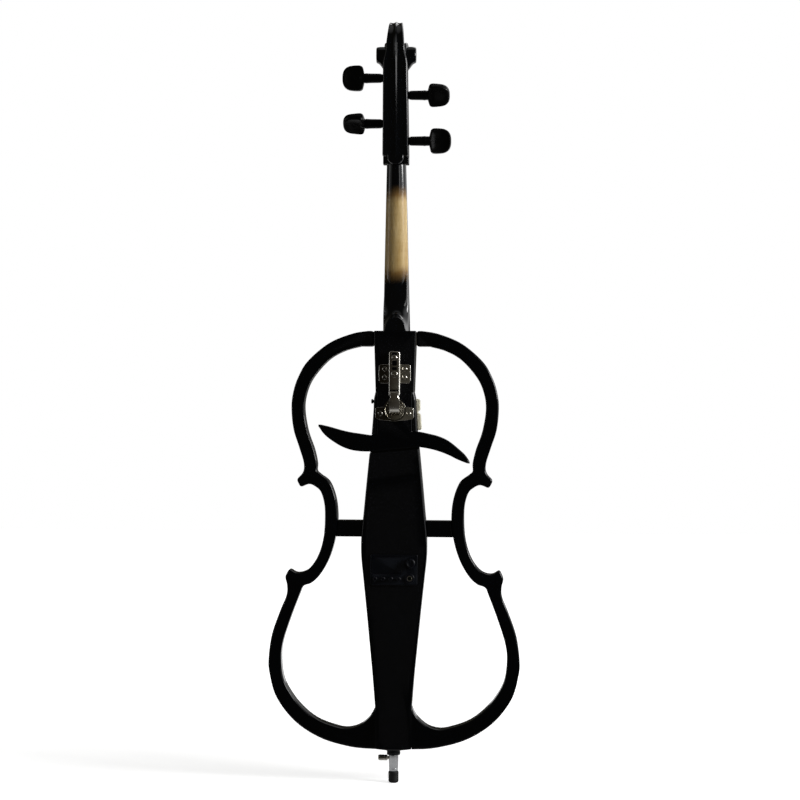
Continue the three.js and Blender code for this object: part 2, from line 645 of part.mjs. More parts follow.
// Pegs, as heights above the nut's lower edge, with the turn at which each head stands
const pegPlaces = [
  { name: 'peg_c', side: 1, rise: pegRise.c, turn: 0 },
  { name: 'peg_g', side: 1, rise: pegRise.g, turn: 47 },
  { name: 'peg_d', side: -1, rise: pegRise.d, turn: 0 },
  { name: 'peg_a', side: -1, rise: pegRise.a, turn: 57 },
];
const pegY = (rise) => (pegboxFront(rise) + pegboxBackAt(rise)) / 2 + pegbox.flute;
const cheekOut = pegbox.half + fit;
function pegShaft(grow) {
  return [[0, -cheekOut], [peg.tip + grow, -cheekOut], [peg.shaft + grow, cheekOut]];
}
const channelRing = (rise, half) => {
  const back = pegboxBackAt(rise) + pegbox.floor;
  const z = nutZ + rise;
  return [[half, pegbox.front + overrun], [half, back], [-half, back], [-half, pegbox.front + overrun]]
    .map(([x, y]) => new THREE.Vector3(x, y, z));
};
const channel = skin([
  channelRing(pegbox.channelLow, pegbox.wallHalf), channelRing(pegbox.channelTop, pegbox.wallTopHalf),
]);
const pegHoles = pegPlaces.map(({ side, rise }) => {
  const hole = turned([...pegShaft(peg.cheekClear), [0, cheekOut]], 'x');
  if (side < 0) hole.rotateY(Math.PI);
  return hole.translate(0, pegY(rise), nutZ + rise);
});
const headstock = join(skin(neckStations.map(neckRing)), skin(pegboxRings), ...wedges, eyeBoss);
add('neck', cut(headstock, channel, ...pegHoles), mapleTint);

function pegGeometry() {
  const collarEnd = peg.collarAt + peg.collarWide;
  const shaft = turned([
    ...pegShaft(0), [peg.shaft, peg.collarAt - peg.collarEdge], [peg.collar, peg.collarAt],
    [peg.collar, collarEnd], [peg.neckRadius, collarEnd + peg.collarEdge],
    [peg.neckRadius, peg.headAt + peg.headEdge], [0, peg.headAt + peg.headEdge],
  ], 'x');
  const middle = peg.headAt + peg.headLength - peg.headHalf;
  const shape = new THREE.Shape();
  shape.moveTo(peg.headAt, -peg.headFlat);
  shape.lineTo(peg.headAt, peg.headFlat);
  shape.absarc(middle, 0, peg.headHalf, peg.arcShare * Math.PI, -peg.arcShare * Math.PI, true);
  const head = plate(shape, -peg.headThick / 2, peg.headThick / 2, peg.headEdge, 7);
  return join(shaft, head);
}
for (const { name, side, rise, turn } of pegPlaces) {
  const mesh = add(name, pegGeometry(), ebony);
  mesh.rotation.set(THREE.MathUtils.degToRad(turn), side < 0 ? Math.PI : 0, 0);
  mesh.position.set(0, pegY(rise), nutZ + rise);
}

// Bridge on its pickup strip, standing on the front of the spine
const pickupBack = frontY + fit;
const bridgeBack = pickupBack + pickup.thickness + fit;
add('bridge_pickup', box(
  [-pickup.half, pickupBack, bridgeZ - pickup.width / 2],
  [pickup.half, pickupBack + pickup.thickness, bridgeZ + pickup.width / 2], pickup.edge,
), pickupStrip);

const stringAtBridge = (x) => boardFront(bridgeZ) + stringSet.bridgeLift - archDrop(x);
const bridgeTopAt = (x) => stringAtBridge(x) - stringRadii[0] - nut.slot;
const bridgeTopShares = [1, 0.75, 0.5, 0.25, 0];
function bridgeShape() {
  const top = bridgeTopShares.map((share) => [share * bridge.topHalf, bridgeTopAt(share * bridge.topHalf)]);
  const shoulderY = mix(bridgeBack, bridgeTopAt(bridge.topHalf), bridge.shoulderShare);
  const waistY = mix(bridgeBack, bridgeTopAt(bridge.topHalf), bridge.waistShare);
  const footY = bridgeBack + bridge.footHeight;
  const right = [
    [0, bridgeBack + bridge.archTop],
    [bridge.footIn * bridge.archInShare, bridgeBack + bridge.archTop * bridge.archSideShare],
    [bridge.footIn, footY], [bridge.footIn, bridgeBack], [bridge.footHalf, bridgeBack],
    [bridge.footHalf, footY], [bridge.waist, waistY], [bridge.shoulder, shoulderY], ...top,
  ];
  const left = right.slice(1, -1).map(([x, y]) => [-x, y]).reverse();
  return polygon([...right, ...left]);
}
const heart = disc(0, mix(bridgeBack, bridgeTopAt(0), bridge.heartShare), bridge.heart);
const kidneys = [-1, 1].map((side) => disc(
  side * bridge.kidneyX, mix(bridgeBack, bridgeTopAt(0), bridge.waistShare), bridge.kidney,
));
const bridgeHoles = [heart, ...kidneys].map((hole) => slab(
  hole, bridgeZ - bridge.thick / 2 - overrun, bridgeZ + bridge.thick / 2 + overrun, 0, 6,
));
add('bridge', cut(
  slab(bridgeShape(), bridgeZ - bridge.thick / 2, bridgeZ + bridge.thick / 2, 0), ...bridgeHoles,
), mapleTint);

// Tailpiece: built about the straight line from the bridge to the saddle, which is its own Z
const saddleTop = frontY + fit + saddle.depth;
const tailOrigin = { y: saddleTop + fit + gut.radius, z: bodyBottom + saddle.height / 2 };
const tailTilt = Math.atan2(stringAtBridge(0) - tailOrigin.y, bridgeZ - tailOrigin.z);
const tailGroup = new THREE.Group();
tailGroup.position.set(0, tailOrigin.y, tailOrigin.z);
tailGroup.rotation.x = -tailTilt;
cello.add(tailGroup);
tailGroup.updateMatrixWorld(true);
const fromTail = (x, y, z) => tailGroup.localToWorld(new THREE.Vector3(x, y, z));

const tailHalfAt = (z) => mix(tail.lowHalf, tail.topHalf, (z - tail.low) / (tail.high - tail.low));
const tailBack = -tail.thickness / 2;
const tailArchShares = [1, 0.6, 0, -0.6, -1];
function tailRing(z) {
  const half = tailHalfAt(z);
  const front = tailArchShares.map((share) => new THREE.Vector3(
    share * half, tail.thickness / 2 + tail.arch * (1 - share * share), z,
  ));
  return [...front, new THREE.Vector3(-half, tailBack, z), new THREE.Vector3(half, tailBack, z)];
}
const tunerPlaces = stringRadii.map((_, k) => mix(tuner.spread, -tuner.spread, k / (stringRadii.length - 1)));
const slotLow = tail.high - tuner.slotLength;
const tailCuts = tunerPlaces.flatMap((x) => {
  const deep = tail.thickness + tail.arch;
  const slotFront = tuner.leverThick / 2 + tuner.swing;
  const slot = box(
    [x - tuner.slotHalf, -deep, slotLow], [x + tuner.slotHalf, slotFront, tail.high + overrun],
  );
  const mouth = box(
    [x - tuner.slotHalf, 0, slotLow + tuner.roof], [x + tuner.slotHalf, deep, tail.high + overrun],
  );
  const hole = pin(tunerScrew.radius + fit, 0, deep, 'y', 8).translate(x, 0, slotLow + tuner.roof / 2);
  const axle = pin(tuner.pivotRadius + fit, x - tuner.pivotHalf - fit, x + tuner.pivotHalf + fit, 'x', 8);
  return [slot, mouth, hole, axle.translate(0, 0, slotLow + tuner.pivot)];
});
const gutHoles = [-1, 1].map((side) => pin(
  gut.radius + fit, tail.low - overrun, tail.low + tail.gutDepth + fit, 'z', gut.sides,
).translate(side * tail.gutX, 0, 0));
const tailBody = skin([tailRing(tail.low), tailRing(tail.high)]);
add('tailpiece', cut(tailBody, ...tailCuts, ...gutHoles), ebony, tailGroup);

const strings = ['c', 'g', 'd', 'a'];
strings.forEach((letter, k) => {
  const x = tunerPlaces[k];
  const half = tuner.leverThick / 2;
  const bar = box([-tuner.leverHalf, -half, slotLow + running], [tuner.leverHalf, half, tail.high]);
  const axle = pin(tuner.pivotRadius, -tuner.pivotHalf, tuner.pivotHalf, 'x', 8);
  const leverBody = join(bar, axle.translate(0, 0, slotLow + tuner.pivot));
  const lever = add(`tuner_lever_${letter}`, leverBody, nickel, tailGroup);
  lever.position.set(x, 0, 0);
  const headLow = tail.thickness / 2 + tail.arch + tunerScrew.stand;
  const tip = half + tunerScrew.tipGap;
  const screwProfile = [
    [0, tip], [tunerScrew.radius, tip], [tunerScrew.radius, headLow], [tunerScrew.head, headLow],
    [tunerScrew.head, headLow + tunerScrew.headHeight], [0, headLow + tunerScrew.headHeight],
  ];
  const screw = add(`tuner_screw_${letter}`, turned(screwProfile, 'y', 12), nickel, tailGroup);
  screw.position.set(x, 0, slotLow + tuner.roof / 2);
});

// Strings: from the lever over bridge and nut, then wound round the peg as one unbroken wire
function pegRadiusAt(along) {
  return mix(peg.tip, peg.shaft, (along + cheekOut) / (2 * cheekOut));
}
function stringPoints(k) {
  const radius = stringRadii[k];
  const { side, rise } = pegPlaces.find(({ name }) => name.endsWith(strings[k]));
  const across = mix(1, -1, k / (stringRadii.length - 1));
  const xBridge = across * stringSet.bridgeSpread;
  const xNut = across * stringSet.nutSpread;
  const hook = fromTail(tunerPlaces[k], 0, tail.high + fit);
  const saddlePoint = new THREE.Vector3(xBridge, stringAtBridge(xBridge), bridgeZ);
  const nutY = boardFront(nutZ) + nut.slot - archDrop(xNut) + radius + fit;
  const start = new THREE.Vector3(xNut, nutY + stringSet.nutLift, nutZ);
  const end = new THREE.Vector3(xNut, nutY, neckTopZ + running);
  const pitch = 2 * radius + stringSet.loopGap;
  const length = pitch * stringSet.loops;
  const from = -side * length / 2 + side * stringSet.windAt;
  const turns = stringSet.loops * stringSet.loopSteps;
  const centre = new THREE.Vector2(pegY(rise), nutZ + rise);
  const reach = pegRadiusAt(stringSet.windAt + length) + fit + radius;
  const bend = Math.atan2(end.y - centre.x - reach, centre.y - end.z);
  const wound = Array.from({ length: turns + 1 }, (_, i) => {
    const angle = bend + (2 * Math.PI * i) / stringSet.loopSteps;
    const x = from + (side * length * i) / turns;
    return new THREE.Vector3(x, centre.x + reach * Math.cos(angle), centre.y + reach * Math.sin(angle));
  });
  return { points: [hook, saddlePoint, start, end, ...wound], wound, radius };
}
// Least distance between the skins of neighbouring turns
function loopGap({ wound, radius }) {
  const apart = stringSet.loopSteps / 2;
  let least = Infinity;
  wound.forEach((point, i) => {
    for (let j = i + apart; j < wound.length; j++) least = Math.min(least, point.distanceTo(wound[j]));
  });
  return least - 2 * radius;
}
strings.forEach((letter, k) => {
  const string = stringPoints(k);
  console.log(`string_${letter} least gap between turns: ${loopGap(string).toFixed(2)} mm`);
  add(`string_${letter}`, tube(string.points, string.radius, stringSet.sides), steelWire);
});

// Saddle and the gut that ties the tailpiece to the endpin collar
const saddleHigh = bodyBottom + saddle.height;
const saddleShape = polygon([
  [frontY + fit, bodyBottom], [saddleTop - saddle.chamfer, bodyBottom],
  [saddleTop, bodyBottom + saddle.chamfer], [saddleTop, saddleHigh - saddle.chamfer],
  [saddleTop - saddle.chamfer, saddleHigh], [frontY + fit, saddleHigh],
]);
add('saddle', sideSlab(saddleShape, saddle.half), ebony);

const loopZ = bodyBottom - gut.underBody;
const loopRadius = socket.neckRadius + fit + gut.radius;
const off = fit + gut.radius;
function gutPoints() {
  const strand = (side) => [
    fromTail(side * tail.gutX, 0, tail.low + tail.gutDepth),
    fromTail(side * tail.gutX, 0, tail.low - gut.straight),
    new THREE.Vector3(side * tail.gutX, tailOrigin.y, bodyBottom + saddle.height / 2),
    new THREE.Vector3(side * tail.gutX, tailOrigin.y, bodyBottom + saddle.chamfer - off / 2),
    new THREE.Vector3(side * loopRadius, saddleTop - saddle.chamfer + off / 2, bodyBottom - off),
    new THREE.Vector3(side * loopRadius, frontY - gut.radius, loopZ),
  ];
  const arc = Array.from({ length: gut.arcSteps + 1 }, (_, i) => {
    const angle = -Math.PI * (i / gut.arcSteps);
    return new THREE.Vector3(loopRadius * Math.cos(angle), loopRadius * Math.sin(angle), loopZ);
  });
  return [...strand(1), ...arc, ...strand(-1).reverse()];
}
add('tail_gut', tube(gutPoints(), gut.radius, gut.sides), blackPlastic);

// Endpin: collar and clamp sleeve in the spine's foot, and the rod that slides out of them
const collarTop = bodyBottom - fit;
const collarLow = bodyBottom - gut.underBody - gut.radius - fit - socket.flangeThick;
const plugHigh = plugTop - fit;
add('endpin_collar', turned([
  [socket.bore, collarLow], [socket.flange, collarLow], [socket.flange, collarLow + socket.flangeThick],
  [socket.neckRadius, collarLow + socket.flangeThick], [socket.neckRadius, collarTop],
  [socket.plugRadius, collarTop + fit], [socket.plugRadius, plugHigh], [socket.bore, plugHigh],
  [socket.bore, collarLow],
], 'z', 18), blackPlastic);

const ferruleTop = collarLow - fit;
const ferruleLow = foot.height + running;
const spigotTop = ferruleTop + ferrule.spigotLength;
const ferruleBody = turned([
  [ferrule.bore, ferruleLow], [ferrule.tipRadius, ferruleLow],
  [ferrule.radius, ferruleTop - ferrule.straight], [ferrule.radius, ferruleTop], [ferrule.spigot, ferruleTop],
  [ferrule.spigot, spigotTop], [ferrule.bore, spigotTop], [ferrule.bore, ferruleLow],
], 'z', 18);
const thumbZ = ferruleTop - thumb.down;
const thumbHole = pin(thumb.thread + fit, -ferrule.radius - overrun, 0, 'x', 12).translate(0, 0, thumbZ);
add('endpin_ferrule', cut(ferruleBody, thumbHole), chromed);

const thumbOut = -ferrule.radius - thumb.shoulder;
add('endpin_thumbscrew', turned([
  [0, thumbOut - thumb.headLength], [thumb.headRadius, thumbOut - thumb.headLength],
  [thumb.headRadius, thumbOut],
  [thumb.neck, thumbOut + fit], [thumb.neck, -ferrule.radius - fit], [thumb.thread, -ferrule.radius - fit],
  [thumb.thread, -rod.radius - fit], [0, -rod.radius - fit],
], 'x', 14).translate(0, 0, thumbZ), nickel);

add('endpin_rod', pin(rod.radius, foot.wallUnder + fit, rodTop, 'z', 20), chromed);
const footHole = pin(rod.radius + fit, foot.wallUnder, foot.height + overrun, 'z', 20);
const footBody = turned([
  [0, 0], [foot.radius - foot.edge, 0], [foot.radius, foot.edge], [foot.radius, foot.height - foot.edge],
  [foot.radius - foot.edge, foot.height], [0, foot.height],
], 'z', 18);
add('endpin_foot', cut(footBody, footHole), rubberBlack);

// Chest rest, folded flush into the pocket, and its cup hinge on the neck block
const cupZ = pivot.z - cup.down + hinge.pivotDown;
const cupFloor = backY + cup.depth;
const restScrewZ = cupZ - cup.screwBelow;
const restCuts = [
  pin(cup.radius + fit, backY - overrun, cupFloor + fit, 'y', 20).translate(0, 0, cupZ),
  ...[-1, 1].map((side) => pin(
    cup.screwShank + fit, backY - overrun, backY + cup.screwLength + fit, 'y', 8,
  ).translate(side * cup.screwX, 0, restScrewZ)),
];
const restBody = restSolid(0, 0, 0, restTop, backY, restFront, rest.edge);
add('chest_rest', cut(restBody, ...restCuts), lacquer);

const flangeFront = backY - fit;
const flangeBack = flangeFront - cup.flangeThick;
const flangeMiddle = cupZ - cup.flangeBelow;
const earShape = polygon([
  [-cup.flangeHalf, flangeMiddle - cup.earHigh / 2], [-cup.earIn, flangeMiddle - cup.flangeHigh / 2],
  [cup.earIn, flangeMiddle - cup.flangeHigh / 2], [cup.flangeHalf, flangeMiddle - cup.earHigh / 2],
  [cup.flangeHalf, flangeMiddle + cup.earHigh / 2], [cup.earIn, flangeMiddle + cup.flangeHigh / 2],
  [-cup.earIn, flangeMiddle + cup.flangeHigh / 2], [-cup.flangeHalf, flangeMiddle + cup.earHigh / 2],
]);
const cupOutside = pin(cup.radius, flangeFront, cupFloor, 'y', 20).translate(0, 0, cupZ);
const cupRim = pin(cup.rim, flangeBack, flangeFront, 'y', 20).translate(0, 0, cupZ);
const cupInside = pin(cup.radius - cup.wall, flangeBack - overrun, cupFloor - cup.wall, 'y', 20);
const earHoles = [-1, 1].map((side) => pin(
  cup.screwShank + fit, flangeBack - overrun, flangeFront + overrun, 'y', 8,
).translate(side * cup.screwX, 0, restScrewZ));
const cupBody = join(plate(earShape, flangeBack, flangeFront), cupOutside, cupRim);
add('hinge_cup', cut(cupBody, cupInside.translate(0, 0, cupZ), ...earHoles), nickel);

// A round-headed screw whose head stands on seatY and whose shank runs towards the front
function screw(name, x, z, seatY, headRadius, headHeight, shank, length) {
  const crown = seatY - fit - headHeight;
  const shape = turned([
    [0, crown], [headRadius * screwCrownShare, crown],
    [headRadius, seatY - fit - headHeight * screwBrimShare], [headRadius, seatY - fit],
    [shank, seatY - fit], [shank, seatY + length], [0, seatY + length],
  ], 'y', 10);
  const slot = box(
    [-headRadius, crown - overrun, -hinge.driveSlot],
    [headRadius, seatY - fit - headHeight * screwCrownShare, hinge.driveSlot],
  );
  add(name, cut(shape, slot), nickel).position.set(x, 0, z);
}
for (const [side, name] of [[-1, 'cup_screw_left'], [1, 'cup_screw_right']]) {
  screw(name, side * cup.screwX, restScrewZ, flangeBack, cup.screwHead, cup.screwHeadHeight, cup.screwShank,
    cup.screwLength + cup.flangeThick);
}

const armEnd = pivot.z - hinge.armTail + hinge.pivotDown;
const armTop = armEnd + hinge.armLength;
const armBack = backY - fit - hinge.armOut;
const plateFront = backY - fit;
const plateBack = plateFront - hinge.plateThick;
const plateLow = blockLow + hinge.plateLow;
const railBack = plateFront - hinge.railOut;
const slotZ = armEnd + hinge.slotAt + hinge.mouthOpen;
const adjustZ = armEnd + hinge.adjustAt + hinge.mouthOpen;
const wings = box(
  [-hinge.plateHalf, plateBack, plateLow], [hinge.plateHalf, plateFront, plateLow + hinge.plateHeight],
);
const rail = box(
  [-hinge.railHalf, railBack, blockLow + hinge.railLow],
  [hinge.railHalf, plateFront, blockLow + hinge.railHigh],
);
const plateHoles = plateScrewPlaces.map(([, side, up]) => pin(
  hinge.screwShank + fit, plateBack - overrun, plateFront + overrun, 'y', 8,
).translate(side * hinge.screwX, 0, blockLow + up));
const railHoles = [slotZ, adjustZ].map((z) => pin(
  hinge.screwShank + fit, railBack - overrun, railBack + hinge.armScrewLength, 'y', 8,
).translate(0, 0, z));
add('hinge_mounting_plate', cut(join(wings, rail), ...plateHoles, ...railHoles), nickel);
for (const [place, side, up] of plateScrewPlaces) {
  screw(`plate_screw_${place}`, side * hinge.screwX, blockLow + up, plateBack,
    hinge.screwRadius, hinge.screwHead, hinge.screwShank, hinge.plateThick + hinge.screwLength);
}

const armOutside = box([-hinge.armHalf, armBack, armEnd], [hinge.armHalf, plateBack - fit, armTop]);
const innerHalf = hinge.armHalf - hinge.armWall;
const armChannel = box(
  [-innerHalf, armBack + hinge.armWall, armEnd - overrun], [innerHalf, plateFront, armTop - hinge.armWall],
);
const mouth = box(
  [-innerHalf, armBack - overrun, armEnd - overrun], [innerHalf, plateFront, pivot.z + hinge.mouthOpen],
);
const pivotHole = pin(hinge.pinRadius + fit, -hinge.armHalf - overrun, hinge.armHalf + overrun, 'x', 14);
const armSlots = [slotZ, adjustZ].map((z) => pin(
  hinge.slotRadius, armBack - overrun, armBack + hinge.armWall + overrun, 'y', 14,
).translate(0, 0, z));
add('hinge_arm', cut(
  armOutside, armChannel, mouth, pivotHole.translate(0, pivot.y, pivot.z), ...armSlots,
), nickel);
screw('clamp_screw', 0, slotZ, armBack, hinge.clampHead, hinge.screwHead, hinge.screwShank,
  hinge.armOut - hinge.railOut + hinge.armScrewLength - fit);
screw('adjusting_screw', 0, adjustZ, armBack, hinge.adjustRadius, hinge.screwHead, hinge.screwShank,
  hinge.armOut - hinge.railOut + hinge.armScrewLength - fit);

const linkFoot = cupFloor - cup.wall - fit;
const linkToe = cupZ - cup.radius * hinge.linkToeShare;
const linkHeel = cupZ - cup.radius * hinge.linkHeelShare;
const linkShape = polygon([
  [pivot.y + hinge.hubRadius, pivot.z],
  [pivot.y + hinge.hubRadius, cupZ + cup.radius * hinge.linkShoulderShare],
  [linkFoot - hinge.linkThick, linkToe], [linkFoot, linkToe], [linkFoot, linkHeel],
  [linkFoot - hinge.linkThick * 2, linkHeel],
  [pivot.y - hinge.hubRadius, cupZ + cup.radius * hinge.linkBackShare],
  [pivot.y - hinge.hubRadius, pivot.z],
]);
const hub = pin(hinge.hubRadius, -hinge.linkHalf, hinge.linkHalf, 'x', 16).translate(0, pivot.y, pivot.z);
const linkPin = pin(hinge.pinRadius, -hinge.armHalf, hinge.armHalf, 'x', 14).translate(0, pivot.y, pivot.z);
add('hinge_link', join(sideSlab(linkShape, hinge.linkHalf), hub, linkPin), nickel);

// Control panel over the cavity in the spine's back, with the battery and the circuit behind it
const panelFront = backY - fit;
const panelBack = panelFront - panel.thickness;
const doorLow = panelLow + door.rise;
const doorHigh = doorLow + door.height;
const doorRight = door.left + door.width;
const knobZ = panelLow + knob.rise;
const toneZ = panelLow + tone.rise;
const jackZ = panelLow + jack.rise;
const doorMiddle = panelBack + door.thickness / 2;
const doorAxisX = door.left + door.thickness / 2;
const tonePlaces = Array.from({ length: tone.count }, (_, k) => tone.x + k * tone.pitch);
const through = (radius, x, z) => (
  pin(radius, panelBack - overrun, panelFront + overrun, 'y', 16).translate(x, 0, z)
);
const doorHole = box(
  [door.left - fit, panelBack - overrun, doorLow - fit],
  [doorRight + fit, panelFront + overrun, doorHigh + fit],
);
const pinHole = pin(
  door.pinRadius + fit, doorLow - door.pinLength - fit, doorHigh + door.pinLength + fit, 'z', 10,
).translate(doorAxisX, doorMiddle, 0);
add('control_panel', cut(
  box([-panel.half, panelBack, panelLow], [panel.half, panelFront, panelLow + panel.height], panel.edge),
  doorHole, pinHole, through(knob.shaft + fit, knob.x, knobZ), through(jack.barrel + fit, jack.x, jackZ),
  ...tonePlaces.map((x) => through(tone.shaft + fit, x, toneZ)),
), blackPlastic);

const doorEdge = pin(door.thickness / 2, doorLow, doorHigh, 'z', 12).translate(doorAxisX, doorMiddle, 0);
const doorPin = pin(
  door.pinRadius, doorLow - door.pinLength, doorHigh + door.pinLength, 'z', 10,
).translate(doorAxisX, doorMiddle, 0);
const doorPanel = box([doorAxisX, panelBack, doorLow], [doorRight, panelBack + door.thickness, doorHigh]);
add('battery_door', join(doorPanel, doorEdge, doorPin), blackPlastic);

const boardBack = cavityFloor - fit - circuit.thickness;
const potBack = boardBack - circuit.potHeight;
const boardPlate = box(
  [-cavityHalf + running, boardBack, panelLow + panel.cavityInset + running],
  [cavityHalf - running, cavityFloor - fit, panelLow + panel.height - panel.cavityInset - running],
);
const pot = (radius, x, z) => (
  pin(radius, potBack, boardBack + circuit.thickness / 2, 'y', 16).translate(x, 0, z)
);
add('circuit_board', join(
  boardPlate, pot(circuit.potRadius, knob.x, knobZ),
  ...tonePlaces.map((x) => pot(circuit.smallPotRadius, x, toneZ)),
), boardGreen);

const batteryLeft = doorAxisX + running;
const batteryLow = doorLow + (door.height - battery.height) / 2;
const batteryFront = boardBack - fit;
const batteryBox = box(
  [batteryLeft, batteryFront - battery.depth, batteryLow],
  [batteryLeft + battery.width, batteryFront, batteryLow + battery.height], battery.edge,
);
add('battery', batteryBox, batteryShell);

function knobBody(radius, height, shaft, skirt) {
  return turned([
    [0, panelBack - fit - height], [radius - skirt, panelBack - fit - height],
    [radius, panelBack - fit - height + skirt], [radius, panelBack - fit], [shaft, panelBack - fit],
    [shaft, potBack - fit], [0, potBack - fit],
  ], 'y', 12);
}
add('volume_knob', knobBody(knob.radius, knob.height, knob.shaft, knob.skirt), blackPlastic)
  .position.set(knob.x, 0, knobZ);
tonePlaces.forEach((x, k) => {
  add(`tone_knob_${k + 1}`, knobBody(tone.radius, tone.height, tone.shaft, tone.skirt), blackPlastic)
    .position.set(x, 0, toneZ);
});

const jackFace = panelBack - fit - jack.flangeThick;
add('output_jack', turned([
  [jack.bore, jackFace], [jack.flange - jack.lip, jackFace], [jack.flange, panelBack - fit - jack.lip],
  [jack.flange, panelBack - fit], [jack.barrel, panelBack - fit], [jack.barrel, panelFront + fit],
  [jack.body, panelFront + fit], [jack.body, boardBack - fit], [0, boardBack - fit],
  [0, jackFace + jack.boreDepth], [jack.bore, jackFace + jack.boreDepth], [jack.bore, jackFace],
], 'y', 14), nickel).position.set(jack.x, 0, jackZ);

// Pale packing block with two lobes on the right flank, and a small button on the left one
const packHigh = spineTop - packing.spineGap;
const packLow = barZ + wingTopShares[0][1] * rest.rise + packing.restGap;
const packStepShares = [0, 0.25, 0.5, 0.75, 1];
const packSteps = packStepShares.map((share) => mix(packLow, packHigh, share));
const notch = packHigh - packing.lobe;
const packEdgeAt = (z, out) => spineHalfAt(z) + out;
const packShape = polygon([
  ...packSteps.map((z) => [packEdgeAt(z, fit), z]),
  [packEdgeAt(packHigh, packing.reach - packing.edge), packHigh],
  [packEdgeAt(packHigh, packing.reach), packHigh - packing.edge],
  [packEdgeAt(notch, packing.reach), notch], [packEdgeAt(notch, packing.neckDepth), notch - packing.edge],
  [packEdgeAt(notch, packing.neckDepth), notch - packing.gapHeight + packing.edge],
  [packEdgeAt(notch, packing.reach), notch - packing.gapHeight],
  [packEdgeAt(packLow, packing.reach), packLow + packing.edge],
  [packEdgeAt(packLow, packing.reach - packing.edge), packLow],
].reverse());
add('packing_block', plate(packShape, -packing.thickness / 2, packing.thickness / 2), beige);

const buttonZ = spineTop - button.spineGap;
const buttonSeat = -spineHalfAt(buttonZ) - fit;
add('flank_button', turned([
  [0, buttonSeat - button.length], [button.radius - button.edge, buttonSeat - button.length],
  [button.radius, buttonSeat - button.length + button.edge], [button.radius, buttonSeat], [0, buttonSeat],
], 'x', 14).translate(0, 0, buttonZ), blackPlastic);

export default cello;
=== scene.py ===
"""Looks of the open-frame electric cello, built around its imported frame.

Sizes are in millimetres, in the frame's own axes, until make() turns them into a mesh in metres.
"""
import json
import math

import bmesh
import bpy
import numpy as np
from mathutils import Matrix, Vector


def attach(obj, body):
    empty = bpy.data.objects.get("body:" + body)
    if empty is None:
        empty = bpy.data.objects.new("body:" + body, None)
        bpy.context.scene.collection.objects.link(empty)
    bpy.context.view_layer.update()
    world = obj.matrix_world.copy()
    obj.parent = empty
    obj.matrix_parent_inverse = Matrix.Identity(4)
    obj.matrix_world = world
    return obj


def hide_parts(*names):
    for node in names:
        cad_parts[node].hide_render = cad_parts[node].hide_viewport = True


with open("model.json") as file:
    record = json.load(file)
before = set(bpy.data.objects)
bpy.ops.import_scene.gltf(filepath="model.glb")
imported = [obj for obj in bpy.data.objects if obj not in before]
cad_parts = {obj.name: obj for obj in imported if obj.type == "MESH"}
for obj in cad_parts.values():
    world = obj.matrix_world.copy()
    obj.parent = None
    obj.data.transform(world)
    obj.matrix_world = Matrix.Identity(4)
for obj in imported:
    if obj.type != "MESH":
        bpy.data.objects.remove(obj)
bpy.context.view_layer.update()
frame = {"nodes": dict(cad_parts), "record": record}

# Metres in a millimetre, the gap between fitted pieces, and the edge of a cutter
MM = 0.001
FIT = 0.3
SHARP = 0.001

# Main sizes, as the frame has them
BOTTOM, LENGTH = 57.0, 710.0
TOP = BOTTOM + LENGTH
LOWER_HALF, WAIST_HALF, UPPER_HALF = 213.0, 118.0, 176.0
BACK, FRONT = -22.0, 22.0
SPINE_HALF, SPINE_TOP = 56.0, 663.695
BLOCK_LOW = SPINE_TOP + FIT
BRIDGE_Z, NUT_Z = 363.0, 1053.0
BOARD_LENGTH, BOARD_PITCH = 585.0, math.radians(7.2)
BAR_Z, REST_REACH, REST_RISE, REST_STEM = 580.27, 127.0, 37.0, 30.0
PIVOT_Y, PIVOT_Z = -30.0, 660.995
CUP_Z, CUP_SCREW_X, CUP_SCREW_Z = 632.995, 24.0, 626.995
WING_SCREW_X, WING_SCREW_UP = 17.0, {"lower": 24.0, "upper": 38.0}
PANEL_LOW, PANEL_HIGH, PANEL_HALF = 337.5, 388.5, 40.0


# ---------------------------------------------------------------- curves and meshes
def mix(low, high, share):
    return low + (high - low) * share


def smooth_step(low, high, value):
    share = min(max((value - low) / (high - low), 0.0), 1.0)
    return share * share * (3 - 2 * share)


def read(curve, place):
    """The value at a place of a curve that holds (place, value) in rising order."""
    for low, high in zip(curve, curve[1:]):
        if low[0] <= place <= high[0]:
            return mix(low[1], high[1], (place - low[0]) / (high[0] - low[0]))
    return curve[-1][1]


def flipped(points):
    """The points on the other side of the middle, in the opposite order."""
    return [(-a, b) for a, b in reversed(points)]


def spline(points, steps=8):
    """A smooth curve through points, with the same rule as the frame's outlines."""
    out = []
    last = len(points) - 1
    for i in range(last):
        before, start = points[max(i - 1, 0)], points[i]
        end, after = points[i + 1], points[min(i + 2, last)]
        for k in range(steps):
            t = k / steps
            place = []
            for a, b, c, d in zip(before, start, end, after):
                leave, arrive = (c - a) / 2, (d - b) / 2
                cubic = (2 * b - 2 * c + leave + arrive) * t ** 3
                place.append(cubic + (3 * c - 3 * b - 2 * leave - arrive) * t ** 2 + leave * t + b)
            out.append(tuple(place))
    return out + [tuple(points[-1])]
def thinned(points, least):
    """A closed outline without points that lie closer than least to the one before."""
    out = [points[0]]
    for point in points[1:]:
        if math.dist(point, out[-1]) > least:
            out.append(point)
    if math.dist(out[0], out[-1]) <= least:
        out.pop()
    return out


def turn_at(a, b, c):
    one = math.atan2(b[1] - a[1], b[0] - a[0])
    two = math.atan2(c[1] - b[1], c[0] - b[0])
    return abs((two - one + math.pi) % (2 * math.pi) - math.pi)


